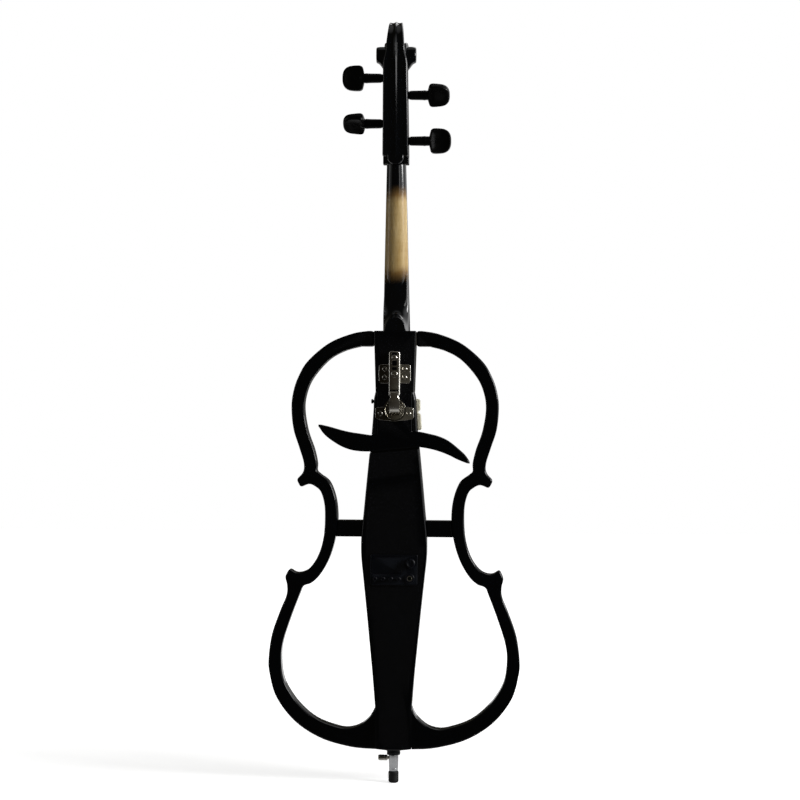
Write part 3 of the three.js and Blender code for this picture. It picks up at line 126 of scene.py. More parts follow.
def rounded(points, radius, least_turn=0.45, steps=5):
    """A closed outline whose sharp corners are rounded off over radius on each side."""
    count = len(points)
    corners = [
        i for i in range(count)
        if turn_at(points[i - 1], points[i], points[(i + 1) % count]) > least_turn
    ]
    if not corners:
        return points
    points = points[corners[0]:] + points[:corners[0]]
    corners = [i - corners[0] for i in corners] + [count]
    loop = points + [points[0]]
    out = []
    arcs = []
    for first, last in zip(corners, corners[1:]):
        run = loop[first:last + 1]
        lengths = [0.0]
        for a, b in zip(run, run[1:]):
            lengths.append(lengths[-1] + math.dist(a, b))
        trim = min(radius, 0.45 * lengths[-1])

        def place_at(length):
            i = max(k for k in range(len(run) - 1) if lengths[k] <= length)
            share = (length - lengths[i]) / (lengths[i + 1] - lengths[i])
            return tuple(mix(p, q, share) for p, q in zip(run[i], run[i + 1]))

        start, end = place_at(trim), place_at(lengths[-1] - trim)
        inner = [p for p, s in zip(run, lengths) if trim < s < lengths[-1] - trim]
        arcs.append((start, inner, end, run[-1]))
    for k, (start, inner, end, corner) in enumerate(arcs):
        after = arcs[(k + 1) % len(arcs)][0]
        out += [start] + inner + [end]
        for j in range(1, steps):
            t = j / steps
            out.append(tuple(
                (1 - t) ** 2 * a + 2 * t * (1 - t) * b + t * t * c
                for a, b, c in zip(end, corner, after)
            ))
    return out


def area_of(points):
    pairs = zip(points, points[1:] + points[:1])
    return sum(a[0] * b[1] - b[0] * a[1] for a, b in pairs) / 2


def inward(points):
    """The inward normal at each point of a closed outline, and how far a miter stretches it."""
    sign = 1 if area_of(points) > 0 else -1
    out = []
    count = len(points)
    for i, point in enumerate(points):
        before, after = points[i - 1], points[(i + 1) % count]
        one = Vector((point[0] - before[0], point[1] - before[1])).normalized()
        two = Vector((after[0] - point[0], after[1] - point[1])).normalized()
        stretch = max(1 + one.dot(two), 0.7)
        out.append(Vector((-one.y - two.y, one.x + two.x)) * sign / stretch)
    return out


def room(points, normals, most):
    """How far each point may move inwards, at most, before the outline would cross itself."""
    places = np.array(points)
    ways = np.array([normal.normalized() for normal in normals])
    gaps = places[None, :, :] - places[:, None, :]
    reach = (gaps * ways[:, None, :]).sum(-1)
    square = (gaps ** 2).sum(-1)
    radius = np.where(reach > 1e-9, square / np.maximum(2 * reach, 1e-9), most)
    return np.minimum(0.9 * radius.min(1), most)


def insets(points, edge, shares):
    """The outline moved inwards by each share of edge, and by less where it is narrow."""
    normals = inward(points)
    depths = room(points, normals, edge)
    return [
        [(p[0] + n.x * d * share, p[1] + n.y * d * share) for p, n, d in zip(points, normals, depths)]
        for share in shares
    ]


def make(name, verts, faces):
    """A mesh object from millimetres, with its faces turned outwards."""
    mesh = bpy.data.meshes.new(name)
    mesh.from_pydata([Vector(v) * MM for v in verts], [], faces)
    form = bmesh.new()
    form.from_mesh(mesh)
    bmesh.ops.remove_doubles(form, verts=form.verts, dist=1e-7)
    bmesh.ops.recalc_face_normals(form, faces=form.faces)
    form.to_mesh(mesh)
    form.free()
    piece = bpy.data.objects.new(name, mesh)
    bpy.context.scene.collection.objects.link(piece)
    return piece


def loft(name, rings, closed=False):
    """Skin over rings of points that all have the same count; its ends are capped unless closed."""
    count = len(rings[0])
    verts = [point for ring in rings for point in ring]
    faces = []
    pairs = [(i, i + 1) for i in range(len(rings) - 1)]
    if closed:
        pairs.append((len(rings) - 1, 0))
    for i, k in pairs:
        for j in range(count):
            n = (j + 1) % count
            faces.append((i * count + j, i * count + n, k * count + n, k * count + j))
    if not closed:
        faces.append(tuple(range(count)))
        faces.append(tuple(range((len(rings) - 1) * count, len(rings) * count)))
    return make(name, verts, faces)


PLANES = {
    "xz": lambda a, b, depth: (a, depth, b),
    "xy": lambda a, b, depth: (a, b, depth),
    "yz": lambda a, b, depth: (depth, a, b),
}


def plate(name, outline, low, high, edge, steps=4, plane="xz"):
    """An outline made thick from low to high, its edges rounded to the radius edge."""
    place = PLANES[plane]
    angles = [math.pi / 2 * k / steps for k in range(steps + 1)]
    shapes = insets(outline, edge, [1 - math.sin(angle) for angle in angles])
    rises = [edge * (1 - math.cos(angle)) for angle in angles]
    rings = [[place(a, b, low + rise) for a, b in shape] for shape, rise in zip(shapes, rises)]
    rings += [[place(a, b, high - rise) for a, b in shape] for shape, rise in zip(shapes[::-1], rises[::-1])]
    return loft(name, rings)


def slab(name, outline, low, high, plane="xz"):
    """A plate with sharp edges, to cut with."""
    return plate(name, outline, low, high, SHARP, 1, plane)


def rectangle(low_x, high_x, low_z, high_z, radius, steps=6):
    corners = [(low_x, low_z), (high_x, low_z), (high_x, high_z), (low_x, high_z)]
    return rounded(corners, radius, steps=steps)


def box(name, low, high, edge, steps=3):
    outline = rectangle(low[0], high[0], low[2], high[2], edge, steps)
    return plate(name, outline, low[1], high[1], edge, steps)


def brick(name, low, high):
    """A box with sharp edges, to cut with."""
    return box(name, low, high, SHARP, 1)


AXES = {
    "x": lambda along, a, b: (along, a, b),
    "y": lambda along, a, b: (a, along, b),
    "z": lambda along, a, b: (a, b, along),
}


def circle(steps):
    return [2 * math.pi * k / steps for k in range(steps)]


def around(axis, at, angle, radius, along):
    """The point at this angle and radius about the axis that goes through at."""
    point = AXES[axis](along, radius * math.cos(angle), radius * math.sin(angle))
    return tuple(p + o for p, o in zip(point, at))


def turned(name, profile, axis="z", at=(0, 0, 0), steps=40, shape=None):
    """A body turned about an axis. profile holds (radius, place along the axis)."""
    rings = []
    for radius, along in profile:
        ring = []
        for angle in circle(steps):
            reach = max(radius, 1e-4) * (shape(angle, radius, along) if shape else 1)
            ring.append(around(axis, at, angle, reach, along))
        rings.append(ring)
    return loft(name, rings)


def grip(count, depth, least):
    """A shape for turned: flutes in the surface, wherever its radius is at least least."""
    return lambda angle, radius, along: 1 - (depth * (1 + math.cos(count * angle)) / 2 if radius >= least else 0)


def bored(name, profile, axis="z", at=(0, 0, 0), steps=40):
    """A turned body that is open along its axis: its profile is a closed loop."""
    rings = [[around(axis, at, angle, radius, along) for radius, along in profile] for angle in circle(steps)]
    return loft(name, rings, closed=True)


def disc(name, radius, low, high, axis, at=(0, 0, 0), steps=40, edge=SHARP):
    profile = [(radius - edge, low), (radius, low + edge), (radius, high - edge), (radius - edge, high)]
    return turned(name, profile, axis, at, steps)


def tube(name, points, radius, sides):
    """A round tube through points."""
    places = [Vector(point) for point in points]
    side = Vector((1, 0, 0))
    rings = []
    for i, place in enumerate(places):
        before, after = places[max(i - 1, 0)], places[min(i + 1, len(places) - 1)]
        one = (place - before).normalized() if i else (after - place).normalized()
        two = (after - place).normalized() if i + 1 < len(places) else one
        along = (one + two).normalized()
        side = (side - along * side.dot(along)).normalized()
        up = along.cross(side)
        rings.append([
            tuple(place + radius * (side * math.cos(a) + up * math.sin(a)))
            for a in circle(sides)
        ])
    return loft(name, rings)


def combine(piece, others, operation):
    """Cuts others out of piece, or joins them to it, and keeps the result as its mesh."""
    for other in others:
        step = piece.modifiers.new(operation.lower(), "BOOLEAN")
        step.operation = operation
        step.solver = "EXACT"
        step.object = other
    bpy.context.view_layer.update()
    result = bpy.data.meshes.new_from_object(piece.evaluated_get(bpy.context.evaluated_depsgraph_get()))
    piece.modifiers.clear()
    piece.data = result
    for other in others:
        bpy.data.objects.remove(other)
    return piece


def cut(piece, *others):
    return combine(piece, others, "DIFFERENCE")


def join(piece, *others):
    return combine(piece, others, "UNION")


def merge(piece, *others):
    """Puts the shells of others into piece without joining them."""
    form = bmesh.new()
    form.from_mesh(piece.data)
    for other in others:
        form.from_mesh(other.data)
        bpy.data.objects.remove(other)
    form.to_mesh(piece.data)
    form.free()
    return piece


def tilted(piece, matrix):
    piece.data.transform(matrix)
    return piece


def round_off(piece, width, segments, sharp):
    """Bevels the edges that turn by more than the angle sharp."""
    step = piece.modifiers.new("edges", "BEVEL")
    step.width = width * MM
    step.segments = segments
    step.limit_method = "ANGLE"
    step.angle_limit = sharp
    step.harden_normals = False
    step.use_clamp_overlap = True


def weigh_normals(piece):
    piece.modifiers.new("normals", "WEIGHTED_NORMAL").keep_sharp = True


def shade(piece, sharp=0.6, bevel=0.0, segments=2):
    """Smooth faces that stay crisp where they meet at more than the angle sharp."""
    form = bmesh.new()
    form.from_mesh(piece.data)
    for face in form.faces:
        face.smooth = True
    for edge in form.edges:
        edge.smooth = not (edge.is_manifold and edge.calc_face_angle(0) > sharp)
    form.to_mesh(piece.data)
    form.free()
    if bevel:
        round_off(piece, bevel, segments, sharp)
    weigh_normals(piece)
    return piece


# ---------------------------------------------------------------- materials
def rgba(color):
    """A colour with its alpha. An output of a node stays as it is."""
    return (*color, 1.0) if isinstance(color, tuple) else color


class Nodes:
    """A tree of nodes and the ways in which it grows."""

    def __init__(self, tree):
        self.tree = tree

    def node(self, kind, inputs=None, **settings):
        """A new node. Each of its inputs is linked to an output, or set to a value."""
        node = self.tree.nodes.new(kind)
        for name, value in settings.items():
            setattr(node, name, value)
        for name, value in (inputs or {}).items():
            if isinstance(value, bpy.types.NodeSocket):
                self.tree.links.new(value, node.inputs[name])
            else:
                node.inputs[name].default_value = value
        return node

    def math(self, kind, one, two=0.0):
        return self.node("ShaderNodeMath", {0: one, 1: two}, operation=kind).outputs[0]

    def span(self, value, low, high, to_low=0.0, to_high=1.0):
        """Goes smoothly from to_low to to_high as value goes from low to high."""
        return self.node("ShaderNodeMapRange", {
            "Value": value, "From Min": low, "From Max": high, "To Min": to_low, "To Max": to_high,
        }, interpolation_type="SMOOTHSTEP").outputs[0]

    def split(self, vector, axis):
        return self.node("ShaderNodeSeparateXYZ", {"Vector": vector}).outputs[axis]

    def in_mirror(self, seen):
        """1 for the rays that a shiny surface sends out. seen holds the outputs of a light path."""
        return self.math("MAXIMUM", seen["Is Glossy Ray"], seen["Is Transmission Ray"])

    def mix_shader(self, share, one, two):
        return self.node("ShaderNodeMixShader", {0: share, 1: one, 2: two}).outputs[0]

    def add_shader(self, one, two):
        return self.node("ShaderNodeAddShader", {0: one, 1: two}).outputs[0]


class Paint(Nodes):
    """A node material that starts from one Principled shader."""

    def __init__(self, name, color, roughness, metallic=0.0, coat=0.0, coat_roughness=0.05):
        self.material = bpy.data.materials.new(name)
        self.material.use_nodes = True
        super().__init__(self.material.node_tree)
        self.shader = self.tree.nodes["Principled BSDF"]
        self.set("Base Color", rgba(color))
        self.set("Roughness", roughness)
        self.set("Metallic", metallic)
        self.set("Coat Weight", coat)
        self.set("Coat Roughness", coat_roughness)
        self.set("IOR", 1.5)
        self.coords = self.tree.nodes.new("ShaderNodeTexCoord").outputs["Object"]

    def set(self, socket, value):
        self.shader.inputs[socket].default_value = value

    def link(self, output, socket):
        self.tree.links.new(output, self.shader.inputs[socket])

    def noise(self, scale, detail, roughness=0.5, stretch=None, distortion=0.0):
        vector = self.coords
        if stretch:
            vector = self.node("ShaderNodeMapping", {"Vector": self.coords, "Scale": stretch}).outputs[0]
        return self.node("ShaderNodeTexNoise", {
            "Vector": vector, "Scale": scale, "Detail": detail, "Roughness": roughness,
            "Distortion": distortion,
        }).outputs["Fac"]

    def ramp(self, value, stops):
        """Goes through the colours or grey levels of stops, which hold (place, colour)."""
        node = self.node("ShaderNodeValToRGB", {"Fac": value})
        bar = node.color_ramp.elements
        while len(bar) < len(stops):
            bar.new(0.5)
        for element, (place, color) in zip(bar, stops):
            element.position = place
            element.color = rgba(color if isinstance(color, tuple) else (color, color, color))
        return node.outputs["Color"]

    def blend(self, share, one, two, kind="MIX"):
        inputs = {0: share, 6: rgba(one), 7: rgba(two)}
        return self.node("ShaderNodeMix", inputs, data_type="RGBA", blend_type=kind).outputs[2]

    def bump(self, height, strength, depth):
        """Adds fine relief, on top of any that is there already."""
        node = self.node("ShaderNodeBump", {"Height": height, "Strength": strength, "Distance": depth * MM})
        if self.shader.inputs["Normal"].is_linked:
            self.tree.links.new(self.shader.inputs["Normal"].links[0].from_socket, node.inputs["Normal"])
        self.link(node.outputs[0], "Normal")

    def edges(self, strength):
        """Up to strength on the worn outer edges."""
        worn = self.span(self.node("ShaderNodeNewGeometry").outputs["Pointiness"], 0.52, 0.6)
        return self.math("MULTIPLY", worn, strength)


def lacquer_paint():
    """Black gloss lacquer: a deep coat with faint haze, dust and rubbed edges."""
    paint = Paint("lacquer", (0.004, 0.005, 0.007), 0.14, coat=0.2, coat_roughness=0.03)
    paint.set("Specular IOR Level", 0.15)
    haze = paint.noise(7.0, 5.0, 0.6)
    body = paint.ramp(haze, [(0.3, (0.0003, 0.0006, 0.0011)), (0.7, (0.0006, 0.0010, 0.0018))])
    paint.link(paint.blend(paint.edges(0.3), body, (0.012, 0.012, 0.013)), "Base Color")
    paint.link(paint.ramp(paint.noise(38.0, 6.0, 0.65), [(0.35, 0.07), (0.75, 0.16)]), "Roughness")
    paint.bump(paint.noise(420.0, 2.0), 0.03, 0.06)
    paint.bump(paint.noise(14.0, 2.0), 0.04, 0.5)
    return paint.material


def maple_color(paint, dark, light, pore):
    """Maple: long grain along Z, curl across it, and fine pores."""
    grain = paint.noise(46.0, 6.0, 0.62, stretch=(3.0, 3.0, 0.12), distortion=0.4)
    base = paint.ramp(grain, [(0.32, dark), (0.68, light)])
    curl = paint.noise(60.0, 2.0, 0.5, stretch=(0.35, 0.35, 2.2), distortion=1.2)
    base = paint.blend(paint.span(curl, 0.42, 0.62, 0.0, 0.22), base, light)
    pores = paint.noise(900.0, 3.0, 0.6, stretch=(1.0, 1.0, 0.06))
    return paint.blend(paint.span(pores, 0.58, 0.72, 0.0, 0.55), base, pore), grain, pores


def neck_paint():
    """Neck: bare varnished maple that fades into the black lacquer above and below."""
    paint = Paint("neck_maple", (0.4, 0.26, 0.13), 0.24, coat=0.25, coat_roughness=0.06)
    paint.set("Specular IOR Level", 0.3)
    wood, grain, pores = maple_color(paint, (0.53, 0.34, 0.12), (0.73, 0.545, 0.26), (0.33, 0.18, 0.06))
    height = paint.split(paint.coords, "Z")
    ragged = paint.math("ADD", height, paint.math("MULTIPLY", paint.noise(30.0, 3.0, stretch=(1, 1, 0.5)), 0.02))
    above = paint.span(ragged, 0.992, 1.026)
    below = paint.span(ragged, 0.893, 0.858)
    dark = paint.math("MAXIMUM", above, below)
    smoke = paint.ramp(dark, [(0.0, (1.0, 1.0, 1.0)), (0.45, (0.42, 0.34, 0.26)), (1.0, (0.0016, 0.0032, 0.012))])
    paint.link(paint.blend(1.0, wood, smoke, "MULTIPLY"), "Base Color")
    sheen = paint.ramp(paint.noise(24.0, 5.0), [(0.3, 0.16), (0.75, 0.26)])
    paint.link(paint.math("MULTIPLY", sheen, paint.span(dark, 0.3, 1.0, 1.0, 0.4)), "Roughness")
    bare = paint.math("SUBTRACT", 1.0, dark)
    paint.bump(paint.math("MULTIPLY", pores, bare), 0.1, 0.05)
    paint.bump(paint.math("MULTIPLY", grain, bare), 0.06, 0.08)
    return paint.material


def ebony_paint():
    """Ebony: nearly black, brown streaks, open grain and a hand-rubbed sheen."""
    paint = Paint("ebony", (0.01, 0.009, 0.008), 0.3, coat=0.1, coat_roughness=0.2)
    paint.set("Specular IOR Level", 0.12)
    grain = paint.noise(80.0, 6.0, 0.6, stretch=(2.2, 2.2, 0.1))
    body = paint.ramp(grain, [
        (0.4, (0.0005, 0.0006, 0.0007)), (0.62, (0.0012, 0.0011, 0.0010)), (0.8, (0.0042, 0.0032, 0.0026)),
    ])
    paint.link(paint.blend(paint.edges(0.25), body, (0.02, 0.018, 0.017)), "Base Color")
    paint.link(paint.ramp(paint.noise(60.0, 4.0), [(0.3, 0.24), (0.75, 0.4)]), "Roughness")
    paint.bump(paint.noise(1100.0, 3.0, 0.6, stretch=(1.0, 1.0, 0.05)), 0.2, 0.05)
    return paint.material


def bridge_paint():
    """Bridge maple: pale, with short dark rays along X and a waxed face."""
    paint = Paint("bridge_maple", (0.6, 0.4, 0.2), 0.45)
    rays = paint.noise(700.0, 3.0, 0.6, stretch=(0.12, 1.0, 1.0))
    grain = paint.noise(160.0, 5.0, 0.6, stretch=(0.2, 1.0, 1.0))
    base = paint.ramp(grain, [(0.3, (0.5, 0.32, 0.15)), (0.7, (0.66, 0.46, 0.25))])
    paint.link(paint.blend(paint.span(rays, 0.56, 0.7, 0.0, 0.7), base, (0.3, 0.16, 0.07)), "Base Color")
    paint.link(paint.ramp(paint.noise(90.0, 3.0), [(0.3, 0.38), (0.7, 0.52)]), "Roughness")
    paint.bump(rays, 0.15, 0.06)
    return paint.material


# Painted shade on the flat backs of nickel: what they keep of their colour from the left to the right of the hinge,
# darker towards the left as if the light falls from the right; the rounded edges keep full colour, as painted
# highlights
PAINTED_SIDE_SHADE = [
    (0.15, (0.12, 0.11, 0.085)), (0.42, (0.5, 0.47, 0.42)), (0.58, (0.72, 0.69, 0.64)), (0.8, (1.0, 0.99, 0.96)),
]
PAINTED_SIDE_SHADE_HALF = 0.03


def metal_paint(name, color, dull, roughness, stretch, scratch, smudges=55.0, shaded_flats=False):
    """Plated or drawn metal: brushed in one direction, smudged, darker in its dull spots, and if asked with painted
    shade on its flat backs.
    """
    paint = Paint(name, color, roughness, metallic=1.0)
    smudge = paint.noise(smudges, 5.0, 0.62)
    base = paint.ramp(smudge, [(0.3, dull), (0.68, color)])
    # Painted shade: faces that look along Y are darkened, more towards the left, as if lit from the right
    if shaded_flats:
        facing = paint.split(paint.node("ShaderNodeTexCoord").outputs["Normal"], "Y")
        flat = paint.span(paint.math("ABSOLUTE", facing), 0.86, 0.99)
        across = paint.span(paint.split(paint.coords, "X"), -PAINTED_SIDE_SHADE_HALF, PAINTED_SIDE_SHADE_HALF)
        base = paint.blend(flat, base, paint.ramp(across, PAINTED_SIDE_SHADE), "MULTIPLY")
    paint.link(base, "Base Color")
    brushed = paint.noise(1400.0, 3.0, 0.6, stretch=stretch)
    polish = paint.span(brushed, 0.3, 0.7, roughness * 0.75, roughness * 1.3)
    wear = paint.math("MULTIPLY", paint.span(smudge, 0.45, 0.75), 0.12)
    paint.link(paint.math("ADD", polish, wear), "Roughness")
    paint.bump(brushed, scratch, 0.03)
    return paint.material


def wound_paint():
    """Flat-wound string: fine turns of steel ribbon round the core."""
    paint = Paint("string_steel", (0.5, 0.49, 0.47), 0.3, metallic=1.0)
    turns = paint.node("ShaderNodeTexWave", {
        "Vector": paint.coords, "Scale": 480.0, "Distortion": 0.6, "Detail": 1.0,
    }, wave_type="BANDS", bands_direction="Z").outputs["Fac"]
    paint.link(paint.ramp(turns, [(0.2, (0.24, 0.235, 0.225)), (0.7, (0.55, 0.54, 0.52))]), "Base Color")
    paint.link(paint.ramp(paint.noise(70.0, 4.0), [(0.3, 0.24), (0.7, 0.38)]), "Roughness")
    paint.bump(turns, 0.4, 0.06)
    return paint.material


def plastic_paint(name, low, high, roughness, grain, bump):
    """Moulded plastic or rubber with a fine grain and paler rubbed edges."""
    paint = Paint(name, low, roughness)
    paint.set("Specular IOR Level", 0.25)
    tone = paint.noise(22.0, 4.0, 0.55)
    body = paint.ramp(tone, [(0.3, low), (0.75, high)])
    pale = tuple(min(1.0, 2.5 * channel + 0.012) for channel in high)
    paint.link(paint.blend(paint.edges(0.45), body, pale), "Base Color")
    paint.link(paint.span(paint.noise(75.0, 4.0), 0.3, 0.75, roughness * 0.85, min(1.0, roughness * 1.2)), "Roughness")
    paint.bump(paint.noise(grain, 2.0, 0.5), bump, 0.08)
    return paint.material


def packing_paint():
    """Bare maple block: dry, sawn, with soft grain and darker end edges."""
    paint = Paint("bare_maple", (0.3, 0.28, 0.2), 0.7)
    wood, grain, pores = maple_color(paint, (0.62, 0.58, 0.42), (0.8, 0.76, 0.6), (0.42, 0.37, 0.24))
    paint.link(paint.blend(paint.edges(0.4), wood, (0.72, 0.69, 0.56)), "Base Color")
    paint.link(paint.ramp(paint.noise(50.0, 3.0), [(0.3, 0.6), (0.7, 0.8)]), "Roughness")
    paint.bump(pores, 0.3, 0.1)
    paint.bump(grain, 0.15, 0.15)
    return paint.material


def circuit_paint():
    """Circuit board: green mask over a net of tracks, with tinned pads."""
    paint = Paint("circuit", (0.01, 0.07, 0.025), 0.3)
    tracks = paint.node("ShaderNodeTexBrick", {
        "Vector": paint.node("ShaderNodeMapping", {"Vector": paint.coords, "Rotation": (math.pi / 2, 0, 0)}).outputs[0],
        "Scale": 260.0, "Mortar Size": 0.03, "Color1": (0.01, 0.065, 0.022, 1), "Color2": (0.014, 0.09, 0.03, 1),
        "Mortar": (0.04, 0.17, 0.07, 1),
    }).outputs["Color"]
    pads = paint.node("ShaderNodeTexVoronoi", {"Vector": paint.coords, "Scale": 230.0}).outputs["Distance"]
    paint.link(paint.blend(paint.span(pads, 0.16, 0.12), tracks, (0.55, 0.53, 0.5)), "Base Color")
    paint.link(paint.ramp(paint.noise(60.0, 2.0), [(0.3, 0.25), (0.7, 0.4)]), "Roughness")
    paint.bump(pads, 0.1, 0.1)
    return paint.material


def battery_paint():
    """Battery case: satin dark sleeve, copper-coloured towards +X."""
    paint = Paint("battery_case", (0.02, 0.022, 0.026), 0.35)
    band = paint.span(paint.split(paint.coords, "X"), 0.001, 0.0014)
    grime = paint.noise(70.0, 4.0)
    shell = paint.ramp(grime, [(0.3, (0.016, 0.018, 0.022)), (0.7, (0.03, 0.032, 0.037))])
    paint.link(paint.blend(band, shell, (0.33, 0.16, 0.07)), "Base Color")
    paint.link(paint.math("MULTIPLY", band, 0.6), "Metallic")
    paint.link(paint.ramp(grime, [(0.3, 0.3), (0.7, 0.45)]), "Roughness")
    return paint.material


PAINTS = {
    "lacquer": lacquer_paint(),
    "neck_maple": neck_paint(),
    "ebony": ebony_paint(),
    "bridge_maple": bridge_paint(),
    "string_steel": wound_paint(),
    "pickup_strip": metal_paint(
        "pickup_strip", (0.5, 0.34, 0.13), (0.34, 0.22, 0.08), roughness=0.34, stretch=(0.1, 1, 1), scratch=0.15,
    ),
    # Nickel gets painted shade on its flat backs, darker towards the left
    "nickel": metal_paint(
        "nickel", (0.95, 0.93, 0.88), (0.62, 0.59, 0.52), roughness=0.17, stretch=(1, 1, 0.08), scratch=0.02,
        smudges=34.0, shaded_flats=True,
    ),
    "chrome": metal_paint(
        "chrome", (0.86, 0.87, 0.89), (0.66, 0.67, 0.7), roughness=0.16, stretch=(1, 1, 0.1), scratch=0.015,
    ),
    "black_plastic": plastic_paint(
        "black_plastic", (0.0006, 0.0012, 0.0030), (0.0012, 0.0022, 0.0048), roughness=0.34, grain=2600.0, bump=0.12,
    ),
    "rubber": plastic_paint(
        "rubber", (0.004, 0.004, 0.004), (0.009, 0.009, 0.009), roughness=0.55, grain=1500.0, bump=0.25,
    ),
    "bare_maple": packing_paint(),
    "circuit": circuit_paint(),
    "battery_case": battery_paint(),
}
BODY_OF = {node: body for body, nodes in frame["record"]["behaviour"]["bodies"].items() for node in nodes}
SLOT_OF = {part["node"]: part["material_slot"] for part in frame["record"]["subparts"]}
replaced = set()


def dress(piece, *nodes, body=None, slot=None):
    """Paints a piece, lets it ride on its body, and hides the frame's nodes that it stands for."""
    slot = slot or SLOT_OF[nodes[0]]
    piece.data.materials.clear()
    piece.data.materials.append(PAINTS[slot])
    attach(piece, body or BODY_OF[nodes[0]])
    if nodes:
        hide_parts(*nodes)
        replaced.update(nodes)
    return piece


# ---------------------------------------------------------------- camera, light and floor
# The camera stands AWAY metres from AIM, turned by SIDE degrees from the instrument's back
AIM, AWAY, SIDE, ROLL = (0.008, 0.0, 0.650), 3.2, 2.75, -0.28
LENS, SENSOR = 84.7, 36.0
LAMP_AIM = (0.0, 0.0, 0.7)
# Name, place, size, power, and whether it lights matt surfaces as well as showing in shiny ones
LAMPS = (
    ("key", (2.7, -0.9, 1.5), (1.0, 1.0), 70.0, True),
    ("fill", (1.76, -2.58, 1.6), (0.35, 1.8), 7.0, False),
    ("top", (0.8, 1.7, 2.8), (1.4, 1.4), 12.0, True),
    ("rim_left", (-2.4, -0.5, 1.1), (0.25, 1.6), 3.0, False),
)
# Bright areas round the object: direction, where they fade out and where they are full, strength
BACKDROP = ((0.85, 0.52, 0.05), 0.56, 0.92)
SOFT_BOXES = (
    ((1.0, -0.25, 0.15), 0.68, 0.96, 1.5),
    ((-1.0, -0.25, 0.2), 0.8, 0.97, 0.32),
    ((0.1, 0.1, 1.0), 0.85, 0.99, 0.35),
)
WHITE, COOL, WARM = (1.0, 1.0, 1.0, 1.0), (0.96, 0.98, 1.0, 1.0), (1.0, 0.94, 0.78, 1.0)
MATT_LEVEL, DIM_LEVEL = 0.08, 0.045


def camera_and_lamps():
    scene = bpy.context.scene
    scene.view_settings.view_transform = "Standard"
    lens = bpy.data.cameras.new("camera")
    lens.lens = LENS
    lens.sensor_width = SENSOR
    lens.clip_end = 50.0
    camera = bpy.data.objects.new("camera", lens)
    side = math.radians(SIDE)
    camera.location = Vector(AIM) + AWAY * Vector((math.sin(side), -math.cos(side), 0.0))
    camera.rotation_euler = (math.pi / 2, math.radians(ROLL), side)
    scene.collection.objects.link(camera)
    scene.camera = camera
    for name, place, size, power, lights_matt in LAMPS:
        lamp = bpy.data.lights.new(name, "AREA")
        lamp.shape = "RECTANGLE"
        lamp.size, lamp.size_y = size
        lamp.energy = power
        holder = bpy.data.objects.new(name, lamp)
        holder.location = place
        holder.rotation_euler = (Vector(LAMP_AIM) - Vector(place)).to_track_quat("-Z", "Y").to_euler()
        holder.visible_diffuse = lights_matt
        scene.collection.objects.link(holder)


def surroundings():
    """White to the camera; to shiny surfaces a dim room with a backdrop and soft boxes."""
    world = bpy.data.worlds.new("studio")
    world.use_nodes = True
    bpy.context.scene.world = world
    sky = Nodes(world.node_tree)
    sky.tree.nodes.clear()
    ray = sky.node("ShaderNodeTexCoord").outputs["Generated"]
    seen = sky.node("ShaderNodeLightPath").outputs

    def glow(direction, low, high):
        """Rises from 0 to 1 as a ray turns towards the direction."""
        towards = {0: ray, 1: Vector(direction).normalized()}
        return sky.span(sky.node("ShaderNodeVectorMath", towards, operation="DOT_PRODUCT").outputs["Value"], low, high)

    def light(color, strength):
        return sky.node("ShaderNodeBackground", {"Color": color, "Strength": strength}).outputs[0]

    mirrored = sky.in_mirror(seen)
    white = sky.math("MAXIMUM", seen["Is Camera Ray"], sky.math("MULTIPLY", mirrored, glow(*BACKDROP)))
    boxes = 0.0
    for direction, low, high, strength in SOFT_BOXES:
        boxes = sky.math("ADD", boxes, sky.math("MULTIPLY", glow(direction, low, high), strength))
    matt = sky.math("MULTIPLY", seen["Is Diffuse Ray"], MATT_LEVEL)
    level = sky.math("ADD", sky.math("MULTIPLY", boxes, mirrored), matt)
    room_light = sky.add_shader(light(COOL, level), light(WARM, DIM_LEVEL))
    sky.node("ShaderNodeOutputWorld", {"Surface": sky.mix_shader(white, room_light, light(WHITE, 1.0))})


def floor():
    """Pale floor that goes white where nothing shades it, and keeps the shadow of the object."""
    half = 6000.0
    piece = make("floor", [(-half, -half, 0), (half, -half, 0), (half, half, 0), (-half, half, 0)], [(0, 1, 2, 3)])
    paint = Paint("floor", (0.86, 0.86, 0.86), 0.85)
    plain = paint.shader.outputs[0]
    seen = paint.node("ShaderNodeLightPath").outputs
    near = paint.node("ShaderNodeVectorMath", {0: paint.coords}, operation="LENGTH").outputs["Value"]
    behind = paint.split(paint.coords, "Y")

    def light(color, strength):
        return paint.node("ShaderNodeEmission", {"Color": color, "Strength": strength}).outputs[0]

    tone = paint.ramp(paint.noise(3.0, 4.0), [(0.3, 0.84), (0.7, 0.88)])
    paint.link(paint.blend(paint.math("MULTIPLY", seen["Is Diffuse Ray"], 0.5), tone, (0.1, 0.1, 0.1)), "Base Color")
    # The camera sees it lifted to white, and more so further off, where the lamps reach it less
    lifted = paint.add_shader(plain, light(WHITE, paint.span(near, 0.4, 1.6, 0.72, 1.05)))
    shown = paint.mix_shader(seen["Is Camera Ray"], plain, lifted)
    # In shiny surfaces it is dim, apart from the white behind the object and a little light round its foot
    bright = paint.math("MAXIMUM", paint.span(behind, 0.5, 1.3), paint.span(near, 0.34, 0.2, 0.0, 0.34))
    in_metal = paint.mix_shader(bright, light((1.0, 0.95, 0.85, 1.0), DIM_LEVEL), light(WHITE, 1.0))
    surface = paint.mix_shader(paint.in_mirror(seen), shown, in_metal)
    paint.tree.links.new(surface, paint.tree.nodes["Material Output"].inputs["Surface"])
    piece.data.materials.append(paint.material)


camera_and_lamps()
surroundings()
floor()


